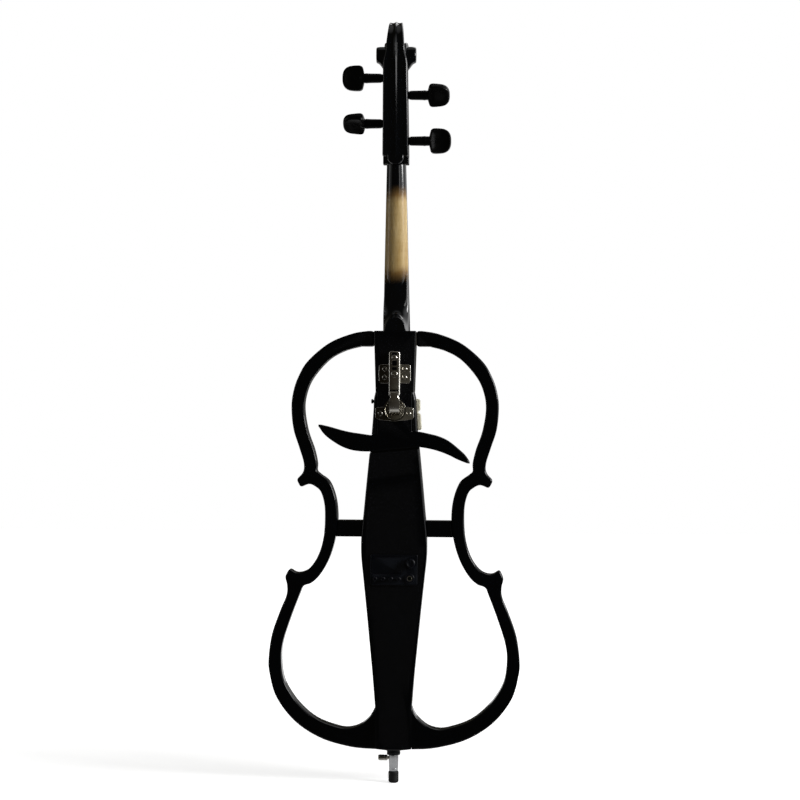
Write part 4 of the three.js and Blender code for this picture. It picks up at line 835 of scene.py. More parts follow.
# ---------------------------------------------------------------- body: rings, spine, crossbars, block
OUTER_LOWER = [
    (0.225, 0.006), (0.505, 0.026), (0.747, 0.065), (0.923, 0.122), (0.991, 0.18), (1, 0.218), (0.968, 0.275),
    (0.89, 0.332), (0.836, 0.366), (0.83, 0.39), (0.851, 0.411),
]
OUTER_WAIST_LOW = [
    (1.636, 0.431), (1.497, 0.421), (1.323, 0.427), (1.179, 0.448), (1.075, 0.478), (1.015, 0.515), (1, 0.555),
]
OUTER_WAIST_HIGH = [(1.024, 0.587), (1.122, 0.614), (1.264, 0.626), (1.468, 0.633), (1.72, 0.625)]
OUTER_UPPER = [
    (0.935, 0.644), (0.855, 0.662), (0.849, 0.685), (0.906, 0.722), (0.975, 0.765), (1, 0.815), (0.98, 0.853),
    (0.918, 0.89), (0.801, 0.928), (0.55, 0.97), (0.271, 0.993), (0.07, 1),
]
INNER_UPPER = [
    (0.158, 0.963), (0.358, 0.952), (0.55, 0.93), (0.736, 0.888), (0.82, 0.85), (0.842, 0.811), (0.799, 0.76),
    (0.723, 0.717), (0.686, 0.685), (0.686, 0.666),
]
INNER_WAIST_HIGH = [(1.138, 0.657), (0.936, 0.639), (0.85, 0.603), (0.818, 0.563)]
INNER_WAIST_LOW = [(0.828, 0.525), (0.873, 0.486), (0.955, 0.448), (1.093, 0.415), (1.236, 0.397), (1.379, 0.389)]
INNER_LOWER = [
    (0.71, 0.37), (0.793, 0.314), (0.865, 0.256), (0.881, 0.214), (0.854, 0.165), (0.766, 0.124), (0.649, 0.091),
    (0.526, 0.069), (0.376, 0.055), (0.263, 0.05), (0.152, 0.057), (0.063, 0.075), (0.022, 0.09),
]
SPINE_EDGE = [
    (0.55, 0.103), (0.632, 0.179), (0.727, 0.256), (0.821, 0.332), (0.925, 0.41), (0.985, 0.455), (1, 0.486),
    (0.985, 0.52), (0.929, 0.562), (0.862, 0.62), (0.768, 0.697), (0.693, 0.754), (0.64, 0.811), (0.632, 0.835),
    (0.58, 0.8545),
]
FOOT_X = 0.55 * SPINE_HALF + FIT
FOOT_RISE, FOOT_TOP = 1.1, BOTTOM + 0.103 * LENGTH
TOP_X = 36.0
RING_HALF, RING_EDGE = 14.0, 3.4
# How far an end runs on before it is cut flat, where it meets its neighbour
RUN_ON = 8.0


def raised(table, across):
    """The points of a table of shares: across the instrument, and up its body."""
    return [(across(share), BOTTOM + up * LENGTH) for share, up in table]


def on_lower(share):
    return mix(FOOT_X, LOWER_HALF, share)


def on_upper(share):
    return mix(TOP_X, UPPER_HALF, share)


def on_waist(bout):
    return lambda share: share * WAIST_HALF if share <= 1 else mix(WAIST_HALF, bout, share - 1)


waist_in = raised(INNER_WAIST_HIGH, on_waist(UPPER_HALF)) + raised(INNER_WAIST_LOW, on_waist(LOWER_HALF))
waist_curve = [(z, x) for x, z in reversed(spline(waist_in))]
spine_right = spline(raised(SPINE_EDGE, lambda share: share * SPINE_HALF))
spine_curve = [(z, x) for x, z in spine_right]


def ring_outline(side):
    """The outline of one frame half, from its foot round the outside and back along the inside."""
    waist_out = raised(OUTER_WAIST_LOW, on_waist(LOWER_HALF)) + raised(OUTER_WAIST_HIGH, on_waist(UPPER_HALF))
    inner_upper = raised(INNER_UPPER, on_upper)
    foot = BOTTOM + FOOT_RISE
    points = [(FOOT_X - RUN_ON, foot)] + spline([(FOOT_X, foot)] + raised(OUTER_LOWER, on_lower))
    points += spline(waist_out)
    points += spline(raised(OUTER_UPPER, on_upper))
    points += [(TOP_X, TOP), (TOP_X, inner_upper[0][1])]
    points += spline(inner_upper + waist_in + raised(INNER_LOWER, on_lower))
    points += [(FOOT_X, FOOT_TOP), (FOOT_X - RUN_ON, FOOT_TOP)]
    return [(side * x, z) for x, z in rounded(thinned(points, 0.8), 5.0)]


for side, across in ((-1, "left"), (1, "right")):
    ring = plate("ring_" + across, ring_outline(side), -RING_HALF, RING_HALF, RING_EDGE, 5)
    low, high = sorted((side * (FOOT_X - 30), side * FOOT_X))
    ring = cut(ring, brick("foot_end", (low, -30, 0), (high, 30, BOTTOM + 0.2 * LENGTH)))
    dress(shade(ring, bevel=0.12), "frame_" + across)

CROSSBAR_LOW, CROSSBAR_HIGH = 417.68, 445.68
for side, name in ((-1, "crossbar_left"), (1, "crossbar_right")):
    levels = [mix(CROSSBAR_LOW, CROSSBAR_HIGH, k / 4) for k in range(5)]
    outline = [(side * (read(spine_curve, z) + 0.05), z) for z in levels]
    outline += [(side * (read(waist_curve, z) - 0.1), z) for z in reversed(levels)]
    dress(shade(plate(name + "_bar", rounded(outline, 1.2), -11, 11, 2.2, 4)), name)

# Edges of the S-shaped bar's wings, as shares of its reach and rise, and the tip of the left one
WING_TOP = [(0.33, 0.44), (0.46, 0.345), (0.59, 0.23), (0.72, 0.02), (0.86, -0.36), (0.95, -0.66)]
WING_LOW = [(0.86, -0.85), (0.72, -0.62), (0.59, -0.45), (0.46, -0.335), (0.33, -0.26)]
LEFT_LOW = [(0.33, -0.48), (0.46, -0.47), (0.59, -0.4), (0.72, -0.23), (0.86, 0.07), (0.95, 0.34)]
LEFT_TIP = [(1.0, 0.585), (1.022, 0.68), (1.01, 0.745)]
LEFT_TOP = [(0.94, 0.7), (0.86, 0.635), (0.72, 0.5), (0.59, 0.4), (0.46, 0.335), (0.33, 0.27)]


def rest_outline(beyond, below, corner):
    """The T of stem and S-shaped bar, grown by beyond, and by below along its lower edges."""
    reach, stem, top = REST_REACH + beyond, REST_STEM + beyond, SPINE_TOP + 6

    def put(table, sign, lift):
        return [(sign * across * reach, BAR_Z + up * REST_RISE + lift) for across, up in table]

    right = spline(put(WING_TOP, 1, beyond) + put([(1, -1)], 1, 0) + put(WING_LOW, 1, -below))
    left = spline(put(LEFT_LOW, -1, -below) + put(LEFT_TIP, -1, 0) + put(LEFT_TOP, -1, beyond))

    def bar_top(x):
        a, b = right[0], left[-1]
        return mix(a[1], b[1], (x - a[0]) / (b[0] - a[0]))

    stem_part = [(-stem, bar_top(-stem)), (-stem, top), (stem, top), (stem, bar_top(stem))]
    return rounded(thinned(right + left + stem_part, 0.6), corner)


def above(z):
    """A cutter for all that is higher than z."""
    return brick("above", (-60, -60, z), (60, 60, z + 30))


# The spine's foot is cut back a little at its corners, so that it runs on in the line of the rings
spine_edge = [(9, BOTTOM + 0.2), (spine_right[0][0], BOTTOM + 2.7)] + spine_right
spine_edge.append((spine_right[-1][0], SPINE_TOP + RUN_ON))
spine = plate("spine_body", rounded(thinned(spine_edge + flipped(spine_edge), 0.8), 1.5), BACK, FRONT, 3.6, 5)
for side in (-1, 1):
    low, high = sorted((side * (FOOT_X - RUN_ON), side * FOOT_X))
    spine = join(spine, box("foot", (low, BACK, BOTTOM + 6), (high, FRONT, BOTTOM + 0.1 * LENGTH), 0.9))
spine = cut(
    spine,
    slab("pocket", rest_outline(0.8, 3.4, 1.0), BACK - 6, -3.2),
    box("cavity", (-37, BACK - 6, PANEL_LOW + 3), (37, -2.6, PANEL_HIGH - 3), 0.4),
    disc("endpin_bore", 5.6, 56, 329, "z"),
    disc("plug_bore", 9.3, 50, 111, "z"),
    above(SPINE_TOP + 0.27),
)
dress(shade(spine, bevel=0.15), "spine")

CUP_BORE_Z, SCREW_BORE_Z = 633.0, 627.0
rest = cut(
    plate("rest_body", rest_outline(0, 0, 3.5), BACK, -4, 2.2, 5),
    above(SPINE_TOP - 0.4),
    disc("cup_bore", 17.8, BACK - 4, -9.3, "y", (0, 0, CUP_BORE_Z)),
    *[disc("screw_bore", 1.9, BACK - 4, -8.7, "y", (x, 0, SCREW_BORE_Z), 16) for x in (-CUP_SCREW_X, CUP_SCREW_X)],
)
dress(shade(rest, bevel=0.12), "chest_rest")

block_outline = [(-32.2, BLOCK_LOW - 9), (32.2, BLOCK_LOW - 9), (35.7, TOP), (-35.7, TOP)]
block = cut(
    plate("block_body", rounded(block_outline, 2.0), BACK, 34, 2.6, 5),
    brick("below", (-60, -60, BLOCK_LOW - 30), (60, 60, BLOCK_LOW)),
    *[
        disc("screw_hole", 2.3, BACK - 4, -7.7, "y", (x, 0, BLOCK_LOW + up), 16)
        for up in WING_SCREW_UP.values() for x in (-WING_SCREW_X, WING_SCREW_X)
    ],
)
dress(shade(block, bevel=0.12), "neck_block")


# ---------------------------------------------------------------- fingerboard, nut, neck, pegbox and scroll
BOARD_TOP_HALF, BOARD_LOW_HALF = 16.2, 30.0
BOARD_FRONT, BOARD_THICK_TOP, BOARD_THICK_LOW = 12.0, 9.5, 16.0
BOARD_LOW, NECK_TOP = NUT_Z - BOARD_LENGTH, NUT_Z + 6
ARCH_RADIUS = 62.0
NECK_HALF, NECK_DEEP_LOW, NECK_DEEP_TOP = 21.5, 21.0, 18.5
# How high the strings lie over the fingerboard, at the nut and at the bridge
LIFT_AT_NUT, LIFT_AT_BRIDGE = 0.8, 7.0


def half_turn(steps):
    """Angles from 0 to half a turn."""
    return [math.pi * k / steps for k in range(steps + 1)]


def board_front(z):
    return BOARD_FRONT + (NUT_Z - z) * math.tan(BOARD_PITCH)


def board_share(z):
    return (NUT_Z - z) / BOARD_LENGTH


def board_half(z):
    return mix(BOARD_TOP_HALF, BOARD_LOW_HALF, board_share(z))


def board_back(z):
    return board_front(z) - mix(BOARD_THICK_TOP, BOARD_THICK_LOW, board_share(z))


def arch_drop(x):
    """How far the arch of fingerboard and bridge falls off beside the middle."""
    return x * x / (2 * ARCH_RADIUS)


def board_ring(z, shrink=0.0):
    """A section of the fingerboard: arched front, flat back."""
    half, back, edge = board_half(z) - shrink, board_back(z) + shrink, 0.9
    top = [half * math.cos(angle) for angle in half_turn(24)]
    corner = [(half, back + edge), (half - edge * 0.3, back + edge * 0.3), (half - edge, back)]
    ring = [(x, board_front(z) - shrink - arch_drop(x)) for x in top]
    ring += [(-x, y) for x, y in corner] + corner[::-1]
    return [(x, y, z) for x, y in ring]


board_rings = [board_ring(BOARD_LOW, 1.2), board_ring(BOARD_LOW + 0.4, 0.4), board_ring(BOARD_LOW + 1.2)]
board_rings += [board_ring(mix(BOARD_LOW + 1.2, NUT_Z - FIT, k / 20)) for k in range(1, 21)]
dress(shade(loft("fingerboard_body", board_rings)), "fingerboard")

nut_line = [BOARD_TOP_HALF * math.cos(angle) for angle in half_turn(16)]
nut_outline = [(x, board_front(NUT_Z) + LIFT_AT_NUT - arch_drop(x)) for x in nut_line]
nut_outline += [(-BOARD_TOP_HALF, board_back(NUT_Z)), (BOARD_TOP_HALF, board_back(NUT_Z))]
dress(shade(plate("nut_body", rounded(nut_outline, 1.0), NUT_Z, NECK_TOP, 0.9, 3, "xy")), "nut")


def neck_ring(z):
    """A section of the neck: flat under the fingerboard, round at the back."""
    half = min(board_half(min(z, NUT_Z)), NECK_HALF)
    front = board_back(min(z, NUT_Z)) - FIT
    depth = mix(NECK_DEEP_LOW, NECK_DEEP_TOP, (z - TOP) / (NECK_TOP - TOP)) - 3.0
    ring = [(half - 0.5, front), (half, front - 0.6)]
    ring += [(half * math.cos(a), front - 3.0 - depth * math.sin(a) ** 0.96) for a in half_turn(32)]
    ring += [(-half, front - 0.6), (-half + 0.5, front)]
    return [(x, y, z) for x, y in ring]


neck = loft("neck_body", [neck_ring(TOP + FIT + k * (NECK_TOP - TOP - FIT) / 60) for k in range(61)])

# Heel: how high its dome stands at each depth, and how wide it is there
HEEL = spline([
    (-21.4, 20.8, 16.6), (-21.2, 21.8, 17.4), (-20.4, 22.9, 18.1), (-18.6, 23.8, 18.5), (-14.5, 25.6, 19.1),
    (-9, 29.2, 20.0), (-4, 35, 20.9), (0, 43, 21.3), (3, 53, 21.4), (5.6, 67, 21.2), (8.5, 90, 20.2), (11.5, 120, 18.5),
], 5)


def heel_ring(y, height, half):
    """A section of the heel at one depth: straight sides under an arch."""
    arch = min(height - 1, half * 1.25)
    low = TOP + FIT
    side = [(half, low + (height - arch) * k / 6) for k in range(7)]
    top = [(half * math.cos(a), low + height - arch + arch * math.sin(a)) for a in half_turn(40)[1:-1]]
    return [(x, y, z) for x, z in side + top + flipped(side)]


heel = loft("heel_body", [heel_ring(*stop) for stop in HEEL])

# Pegbox, over the nut: where it begins and ends, its half width and its depth at both ends
BOX_LOW, BOX_TOP = 7.0, 160.0
BOX_HALF, BOX_TOP_HALF = 22.2, 20.4
BOX_DEEP, BOX_TOP_DEEP = 40.0, 34.0


def box_front(rise):
    return 2 - 0.2 * max(rise, 0.0)


def box_half(rise):
    return mix(BOX_HALF, BOX_TOP_HALF, max(0.0, rise) / BOX_TOP)


def box_back(rise):
    return box_front(rise) - mix(BOX_DEEP, BOX_TOP_DEEP, max(rise, 0.0) / BOX_TOP)


# Places across a slice, and the depth of the hollows there from the middle outwards
ACROSS = [1 - 2 * k / 60 for k in range(61)]
FLUTE = spline([
    (0, 0), (0.02, 0.04), (0.06, 0.18), (0.1, 0.32), (0.14, 0.46), (0.2, 0.64), (0.3, 0.84), (0.44, 0.94), (0.58, 0.92),
    (0.7, 0.8), (0.8, 0.64), (0.86, 0.6),
], 4)


FLUTED_TO, RIM = 0.86, 5.0


def fluted(share, depth):
    """Two hollows with a narrow crest between them and a rounded rim at each side."""
    across, least = abs(share), 0.6 * depth
    if across < FLUTED_TO:
        return depth * read(FLUTE, across)
    fall = (across - FLUTED_TO) / (1 - FLUTED_TO)
    return least + (RIM - least) * (1 - math.sqrt(max(0.0, 1 - fall ** 2)))


def slice_at(middle, turn, half, near, far, depth):
    """One slice of pegbox or scroll: it runs from near to far along the direction of turn."""
    way_y, way_z = math.cos(turn), math.sin(turn)
    line = [(half - 0.8, near), (half, near + 0.8)]
    line += [(s * half, max(far - fluted(s, depth), near + 1.6)) for s in ACROSS]
    line += [(-half, near + 0.8), (-half + 0.8, near)]
    return [(x, middle[0] + reach * way_y, middle[1] + reach * way_z) for x, reach in line]


def box_slice(rise, half_share=1.0, depth_share=1.0):
    """A slice of the pegbox at a height over the nut, narrowed and flattened by the shares."""
    front = box_front(rise)
    far = (front - box_back(rise)) * depth_share - front
    return slice_at((0, NUT_Z + rise), math.pi, box_half(rise) * half_share, -front, far, 2.0 * depth_share)


low_end = [(BOX_LOW, 0.93, 0.9), (BOX_LOW + 0.5, 0.965, 0.945), (BOX_LOW + 1.6, 0.99, 0.98), (BOX_LOW + 3.4, 1, 1)]
box_slices = [box_slice(*stop) for stop in low_end]
box_slices += [box_slice(mix(BOX_LOW + 3.4, BOX_TOP, k / 30)) for k in range(1, 31)]
pegbox = loft("pegbox_body", box_slices)

cheeks = plate("cheek_ends", rectangle(-21.9, 21.9, NUT_Z - 4.2, NUT_Z + 14, 1.2, 5), -17.5, 1.9, 1.2)
CHIN_HALF, CHIN_DEEP = 13.9, 12.6
chin = [(CHIN_HALF, 16), (CHIN_HALF, 6)]
chin += [(CHIN_HALF * math.cos(a), 6 - CHIN_DEEP * math.sin(a)) for a in half_turn(24)[1:-1]]
chin += [(-CHIN_HALF, 6), (-CHIN_HALF, 16)]
chin = plate("chin", rounded([(x, NUT_Z + up) for x, up in chin], 1.0), -37.6, -6, 3.2, 5)

SCROLL_Y, SCROLL_Z, SCROLL_R = -20.0, NUT_Z + 181, 47.0
# Share of the radius at each eighth of a turn, from the back over the top and in to the eye
WINDING = [0.955, 1.065, 1.15, 1.05, 0.86, 0.69, 0.58, 0.54, 0.5, 0.46, 0.42, 0.38, 0.34, 0.3, 0.27, 0.25, 0.24]
WIDTHS = [(0, 16.2), (0.08, 14.2), (0.16, 12.4), (0.25, 11.0), (0.35, 11.2), (0.5, 12.6), (0.75, 15.2), (1, 17.6),
          (1.25, 20.2), (1.5, 21.8), (1.75, 24.4), (2, 27)]
winding_curve = spline([(k / 8, share) for k, share in enumerate(WINDING)], 8)
width_curve = spline(WIDTHS, 8)


def scroll_slice(turn):
    """A slice of the scroll after a number of turns from the back over the top."""
    radius = SCROLL_R * read(winding_curve, turn)
    near = max(radius * 0.35, 3.0)
    return slice_at((SCROLL_Y, SCROLL_Z), math.pi * (1 - 2 * turn), read(width_curve, turn), near, radius, 2.0)


def between_slices(one, two, lift, steps):
    """Slices between two given ones, pushed out a little so that the back stays a fair curve."""
    out = []
    for k in range(1, steps):
        share = k / steps
        bulge = lift * math.sin(math.pi * share)
        out.append([
            (mix(a[0], b[0], smooth_step(0, 1, share)), mix(a[1], b[1], share) - bulge, mix(a[2], b[2], share))
            for a, b in zip(one, two)
        ])
    return out


scroll_slices = [scroll_slice(2.0 * k / 128) for k in range(129)]
link_slices = between_slices(box_slices[-1], scroll_slices[0], 0.9, 6)
scroll = loft("scroll_body", [box_slices[-1]] + link_slices + scroll_slices)

# The scroll's eye: how far out it is, its radius, and how far it reaches down
EYE = [
    (16, 14.0, 28.0), (20, 14.0, 26.0), (23, 14.0, 22.5), (26, 14.0, 18.0), (29, 13.8, 14.8), (31.6, 13.4, 13.6),
    (33.0, 12.7, 12.8), (33.5, 11.8, 11.8),
]


def eye_ring(x, up, down):
    return [
        (x, SCROLL_Y + up * math.cos(a), SCROLL_Z - 1.6 + (up if math.sin(a) > 0 else down) * math.sin(a))
        for a in circle(48)
    ]


eyes = [loft("eye", [eye_ring(side * x, up, down) for x, up, down in EYE]) for side in (-1, 1)]


def channel_ring(rise, half):
    """A section of the pegbox's hollow, open to the front."""
    back = box_back(rise) + 9
    corners = [(half, 8), (half, back + 2), (half - 2, back), (-half + 2, back), (-half, back + 2), (-half, 8)]
    return [(x, y, NUT_Z + rise) for x, y in corners]


# Side, height over the nut and turn of each peg, and how far its head stands out
PEGS = {
    "peg_c": (1, 34.0, 0.0), "peg_g": (1, 109.0, 47.0), "peg_d": (-1, 137.0, 0.0), "peg_a": (-1, 62.5, 57.0),
}
HEAD_OUT = {"peg_c": 3.5, "peg_g": 1.0, "peg_d": -0.5, "peg_a": -1.0}


PEG_BORE_THIN, PEG_BORE_WIDE = 6.0, 7.1
# A peg's shaft between the cheeks: its radii and half length, and where its string is wound
SHAFT_THIN, SHAFT_WIDE, SHAFT_HALF, WOUND_AT = 5.6, 6.7, 23.3, 3.5


def peg_y(rise):
    return (box_front(rise) + box_back(rise)) / 2 + 1.6


peg_bores = [
    turned("bore", [
        (mix(PEG_BORE_THIN, PEG_BORE_WIDE, 0.5 + end * side / 2), 26 * end) for end in (-1, 1)
    ], "x", (0, peg_y(rise), NUT_Z + rise), 24)
    for side, rise, _ in PEGS.values()
]
pegbox = cut(join(pegbox, cheeks, chin), loft("channel", [channel_ring(12, 12), channel_ring(150, 9.5)]), *peg_bores)
head = merge(*[shade(part) for part in (neck, heel, pegbox, scroll, *eyes)])
head.name = "neck_and_scroll"
dress(head, "neck")


# ---------------------------------------------------------------- pegs
PEG_HEAD = spline([
    (90, 0), (89.7, 6), (88, 12), (84.4, 16.8), (78.6, 20), (71, 21.2), (63, 21.4), (58.4, 20.6), (55.6, 18),
    (54.2, 13), (53.2, 8.6), (53, 7.4),
], 6)
# Share of the outline, and half thickness there: the rim, then the dished face
PEG_FACES = [
    (1.0, 0.0), (0.999, 1.7), (0.99, 3.3), (0.965, 4.8), (0.92, 5.7), (0.85, 5.9), (0.72, 5.3), (0.5, 4.5), (0.25, 4.1),
]


def peg_piece(name, side, rise, turn):
    out = HEAD_OUT[name]
    outline = [(x + out, z) for x, z in thinned(PEG_HEAD + [(x, -z) for x, z in reversed(PEG_HEAD[1:])], 0.3)]
    centre = 70.0 + out

    def ring(share, half):
        points = []
        for x, z in outline:
            place = mix(centre, x, share)
            taper = mix(1.25, 0.95, smooth_step(53 + out, 76 + out, place))
            points.append((place, half * taper, z * share))
        return points

    rings = [ring(share, half) for share, half in reversed(PEG_FACES)]
    rings += [ring(share, -half) for share, half in PEG_FACES[1:]]
    tip = 0.6 - box_half(rise)
    shaft = turned(name + "_shaft", [
        (5.2, tip), (SHAFT_THIN, tip + 0.4), (SHAFT_WIDE, SHAFT_HALF), (7.4, 24.4), (7.7, 26), (8.0, 42),
        (8.1, 46.4), (8.35, 47.4), (8.4, 49.2), (8.2, 50.4), (8.0, 51.6), (8.0, 53 + out), (7.4, 56 + out),
        (5.4, 61 + out), (2.0, 66 + out),
    ], "x", steps=56)
    spin = Matrix.Rotation(math.radians(turn), 4, "X")
    if side < 0:
        spin = spin @ Matrix.Rotation(math.pi, 4, "Y")
    place = Matrix.Translation(Vector((0, peg_y(rise), NUT_Z + rise)) * MM)
    return tilted(merge(shade(loft(name + "_body", rings)), shade(shaft)), place @ spin)


for name, (side, rise, turn) in PEGS.items():
    dress(peg_piece(name, side, rise, turn), name)


# ---------------------------------------------------------------- strings, bridge and tailpiece
# Place across, from 1 on the C string's side to -1, and radius of each string
STRINGS = {"c": (1.0, 0.8), "g": (1 / 3, 0.65), "d": (-1 / 3, 0.55), "a": (-1.0, 0.45)}
SPREAD_AT_BRIDGE, SPREAD_AT_NUT = 23.5, 11.0
TAIL_ORIGIN_Y, TAIL_ORIGIN_Z = 31.8, 62.0
TAIL_LOW, TAIL_HIGH, TUNER_X = 33.0, 200.0, 21.0
SLOT_LOW, SCREW_AT, PIVOT_AT = 158.0, 166.0, 182.0


def string_at_bridge(x):
    return board_front(BRIDGE_Z) + LIFT_AT_BRIDGE - arch_drop(x)


TAIL_TILT = math.atan2(string_at_bridge(0) - TAIL_ORIGIN_Y, BRIDGE_Z - TAIL_ORIGIN_Z)
TO_TAIL = Matrix.Translation(Vector((0, TAIL_ORIGIN_Y, TAIL_ORIGIN_Z)) * MM) @ Matrix.Rotation(-TAIL_TILT, 4, "X")


def from_tail(x, y, z):
    """A place in the tailpiece's own axes, in those of the frame."""
    return tuple((TO_TAIL @ (Vector((x, y, z)) * MM)) / MM)


def string_path(letter):
    """From the tailpiece over bridge and nut to the peg, and twice round its shaft."""
    across, radius = STRINGS[letter]
    side, rise, _ = PEGS["peg_" + letter]
    x_bridge, x_nut = across * SPREAD_AT_BRIDGE, across * SPREAD_AT_NUT
    nut_y = board_front(NUT_Z) + LIFT_AT_NUT - arch_drop(x_nut) + radius + FIT
    points = [
        from_tail(across * TUNER_X, 0, TAIL_HIGH + FIT), (x_bridge, string_at_bridge(x_bridge), BRIDGE_Z),
        (x_nut, nut_y + 0.1, NUT_Z), (x_nut, nut_y, NECK_TOP + 0.6),
    ]
    wound = 2 * (2 * radius + 0.7)
    start = side * (WOUND_AT - wound / 2)
    middle_y, middle_z = peg_y(rise), NUT_Z + rise
    along = (WOUND_AT + wound + SHAFT_HALF) / (2 * SHAFT_HALF)
    reach = mix(SHAFT_THIN, SHAFT_WIDE, along) + FIT + radius
    bend = math.atan2(nut_y - middle_y - reach, middle_z - points[-1][2])
    for k in range(97):
        angle = bend + 4 * math.pi * k / 96
        x = start + side * wound * k / 96
        points.append((x, middle_y + reach * math.cos(angle), middle_z + reach * math.sin(angle)))
    for k, dive in ((1, 0.8), (2, 2.4), (3, 4.2)):
        angle = bend + math.radians(9 * k)
        x = start + side * (wound + 0.12 * k)
        points.append((x, middle_y + (reach - dive) * math.cos(angle), middle_z + (reach - dive) * math.sin(angle)))
    return points, radius


for letter in STRINGS:
    points, radius = string_path(letter)
    dress(shade(tube(f"string_{letter}_wire", points, radius, 12), sharp=1.2), f"string_{letter}")

BRIDGE_BASE, CROWN_HALF = 25.0, 29.0


def bridge_top(x):
    return string_at_bridge(x) - 1.6


def bridge_outline():
    base = BRIDGE_BASE
    right = spline([
        (0.001, base + 27), (8, base + 25.4), (15.5, base + 20), (20.6, base + 12.5), (24, base + 5.4), (26.4, base),
    ], 6)
    right += [(45, base), (45, base + 2.0)]
    right += spline([
        (45, base + 2.0), (41.5, base + 4.6), (36.4, base + 8.2), (33.2, base + 14.5), (31.8, base + 23),
        (32.6, base + 31), (35.6, base + 36.4), (39.8, base + 40.4), (42.8, base + 45.4), (43, base + 50.2),
        (40.9, base + 54), (37.4, base + 56.8), (34.4, base + 60.6), (31.6, base + 66),
        (CROWN_HALF, bridge_top(CROWN_HALF)),
    ], 5)[1:]
    crown = [CROWN_HALF - 2 * CROWN_HALF * k / 24 for k in range(1, 24)]
    return rounded(thinned(right + [(x, bridge_top(x)) for x in crown] + flipped(right), 0.25), 0.8)


def hole(points):
    """A cutter through the bridge along Z, from an outline over its base."""
    raised_points = [(x, BRIDGE_BASE + y) for x, y in points]
    outline = thinned(spline(raised_points + [raised_points[0]], 6), 0.2)
    return slab("hole", outline, BRIDGE_Z - 8, BRIDGE_Z + 8, "xy")


HEART = [(0, 61), (2.2, 58.6), (5.6, 57.4), (8.6, 54.4), (8.2, 50.2), (4.9, 46.6), (1.9, 42), (1.5, 37.4), (2.6, 35.2)]
KIDNEY = [
    (15.2, 29.2), (19.5, 26), (24.6, 26.8), (27.4, 31.4), (26.2, 36.8), (21.8, 39.6), (18.6, 43.4), (14.8, 44.2),
    (13.2, 41), (14.6, 37.4), (17, 34.6),
]


def bridge_piece():
    body = plate("bridge_body", bridge_outline(), BRIDGE_Z - 3.9, BRIDGE_Z + 3.9, 0.8, 3, "xy")
    piece = cut(body, hole(HEART + [(0, 34.2)] + flipped(HEART[1:])), hole(KIDNEY), hole(flipped(KIDNEY)))
    # It gets thinner towards its top
    for vert in piece.data.vertices:
        rise = min(max((vert.co.y / MM - BRIDGE_BASE) / 80, 0.0), 1.0)
        vert.co.z = (BRIDGE_Z + (vert.co.z / MM - BRIDGE_Z) * mix(1.0, 0.42, rise ** 0.9)) * MM
    return piece


dress(shade(bridge_piece(), bevel=0.3), "bridge")


def tail_half(z):
    return mix(17.0, 29.0, (z - TAIL_LOW) / (TAIL_HIGH - TAIL_LOW))


def tail_ring(z, shrink):
    """A section of the tailpiece: arched front, flat back."""
    half = tail_half(z) - shrink
    back = -5.5 + shrink * 0.8
    shares = [math.cos(angle) for angle in half_turn(32)]
    ring = [(share * half, 5.5 + 4 * (1 - share * share) - shrink * 0.8) for share in shares]
    corner = [(half * share, back + lift) for share, lift in ((1.0, 1.6), (0.985, 0.7), (0.95, 0.1), (0.9, 0.0))]
    ring += [(-x, y) for x, y in corner] + corner[::-1]
    return [(x, y, z) for x, y in ring]


def tail_cutters(x):
    """What is cut out of the tailpiece for one string: slot, mouth, screw hole and axle hole."""
    end = SLOT_LOW + 2
    slot = [(x - 3, TAIL_HIGH + 8), (x - 3, end)]
    slot += [(x - 3 * math.cos(a), end - 2 * math.sin(a)) for a in half_turn(8)[1:-1]]
    slot += [(x + 3, end), (x + 3, TAIL_HIGH + 8)]
    return [
        slab("slot", slot, -20, 3.6),
        brick("mouth", (x - 3, 0, SLOT_LOW + 16), (x + 3, 20, TAIL_HIGH + 8)),
        disc("screw_hole", 1.9, 0, 20, "y", (x, 0, SCREW_AT), 20),
        disc("axle_hole", 1.5, x - 4.5, x + 4.5, "x", (0, 0, PIVOT_AT), 16),
    ]


def tailpiece():
    ends = [(0, 2.4), (0.5, 1.2), (1.4, 0.4), (2.6, 0)]
    stops = [(TAIL_LOW + rise, shrink) for rise, shrink in ends]
    stops += [(mix(TAIL_LOW, TAIL_HIGH, k / 16), 0) for k in range(1, 16)]
    stops += [(TAIL_HIGH - rise * 0.6, shrink * 0.6) for rise, shrink in reversed(ends)]
    cutters = []
    for across, _ in STRINGS.values():
        cutters += tail_cutters(across * TUNER_X)
    for side in (-1, 1):
        cutters.append(disc("gut_hole", 1.5, TAIL_LOW - 4, TAIL_LOW + 14.3, "z", (side * 9, 0, 0), 16))
    return cut(loft("tailpiece_body", [tail_ring(z, shrink) for z, shrink in stops]), *cutters)


dress(tilted(shade(tailpiece(), sharp=0.5, bevel=0.35), TO_TAIL), "tailpiece")


def lever_piece(letter, x):
    """A fine tuner's lever with its axle and the ball of the string."""
    lever = box(f"lever_{letter}", (x - 2.4, -2, SLOT_LOW + 0.6), (x + 2.4, 2, TAIL_HIGH), 0.7)
    axle = disc("lever_axle", 1.2, x - 4.2, x + 4.2, "x", (0, 0, PIVOT_AT), 20, 0.3)
    arc = [(1.9 * math.sin(a), -1.9 * math.cos(a)) for a in half_turn(12)[1:-1]]
    ball = turned("ball", arc, "x", (x, 1.2, TAIL_HIGH - 1.9), 24)
    return merge(*[shade(part) for part in (lever, axle, ball)])


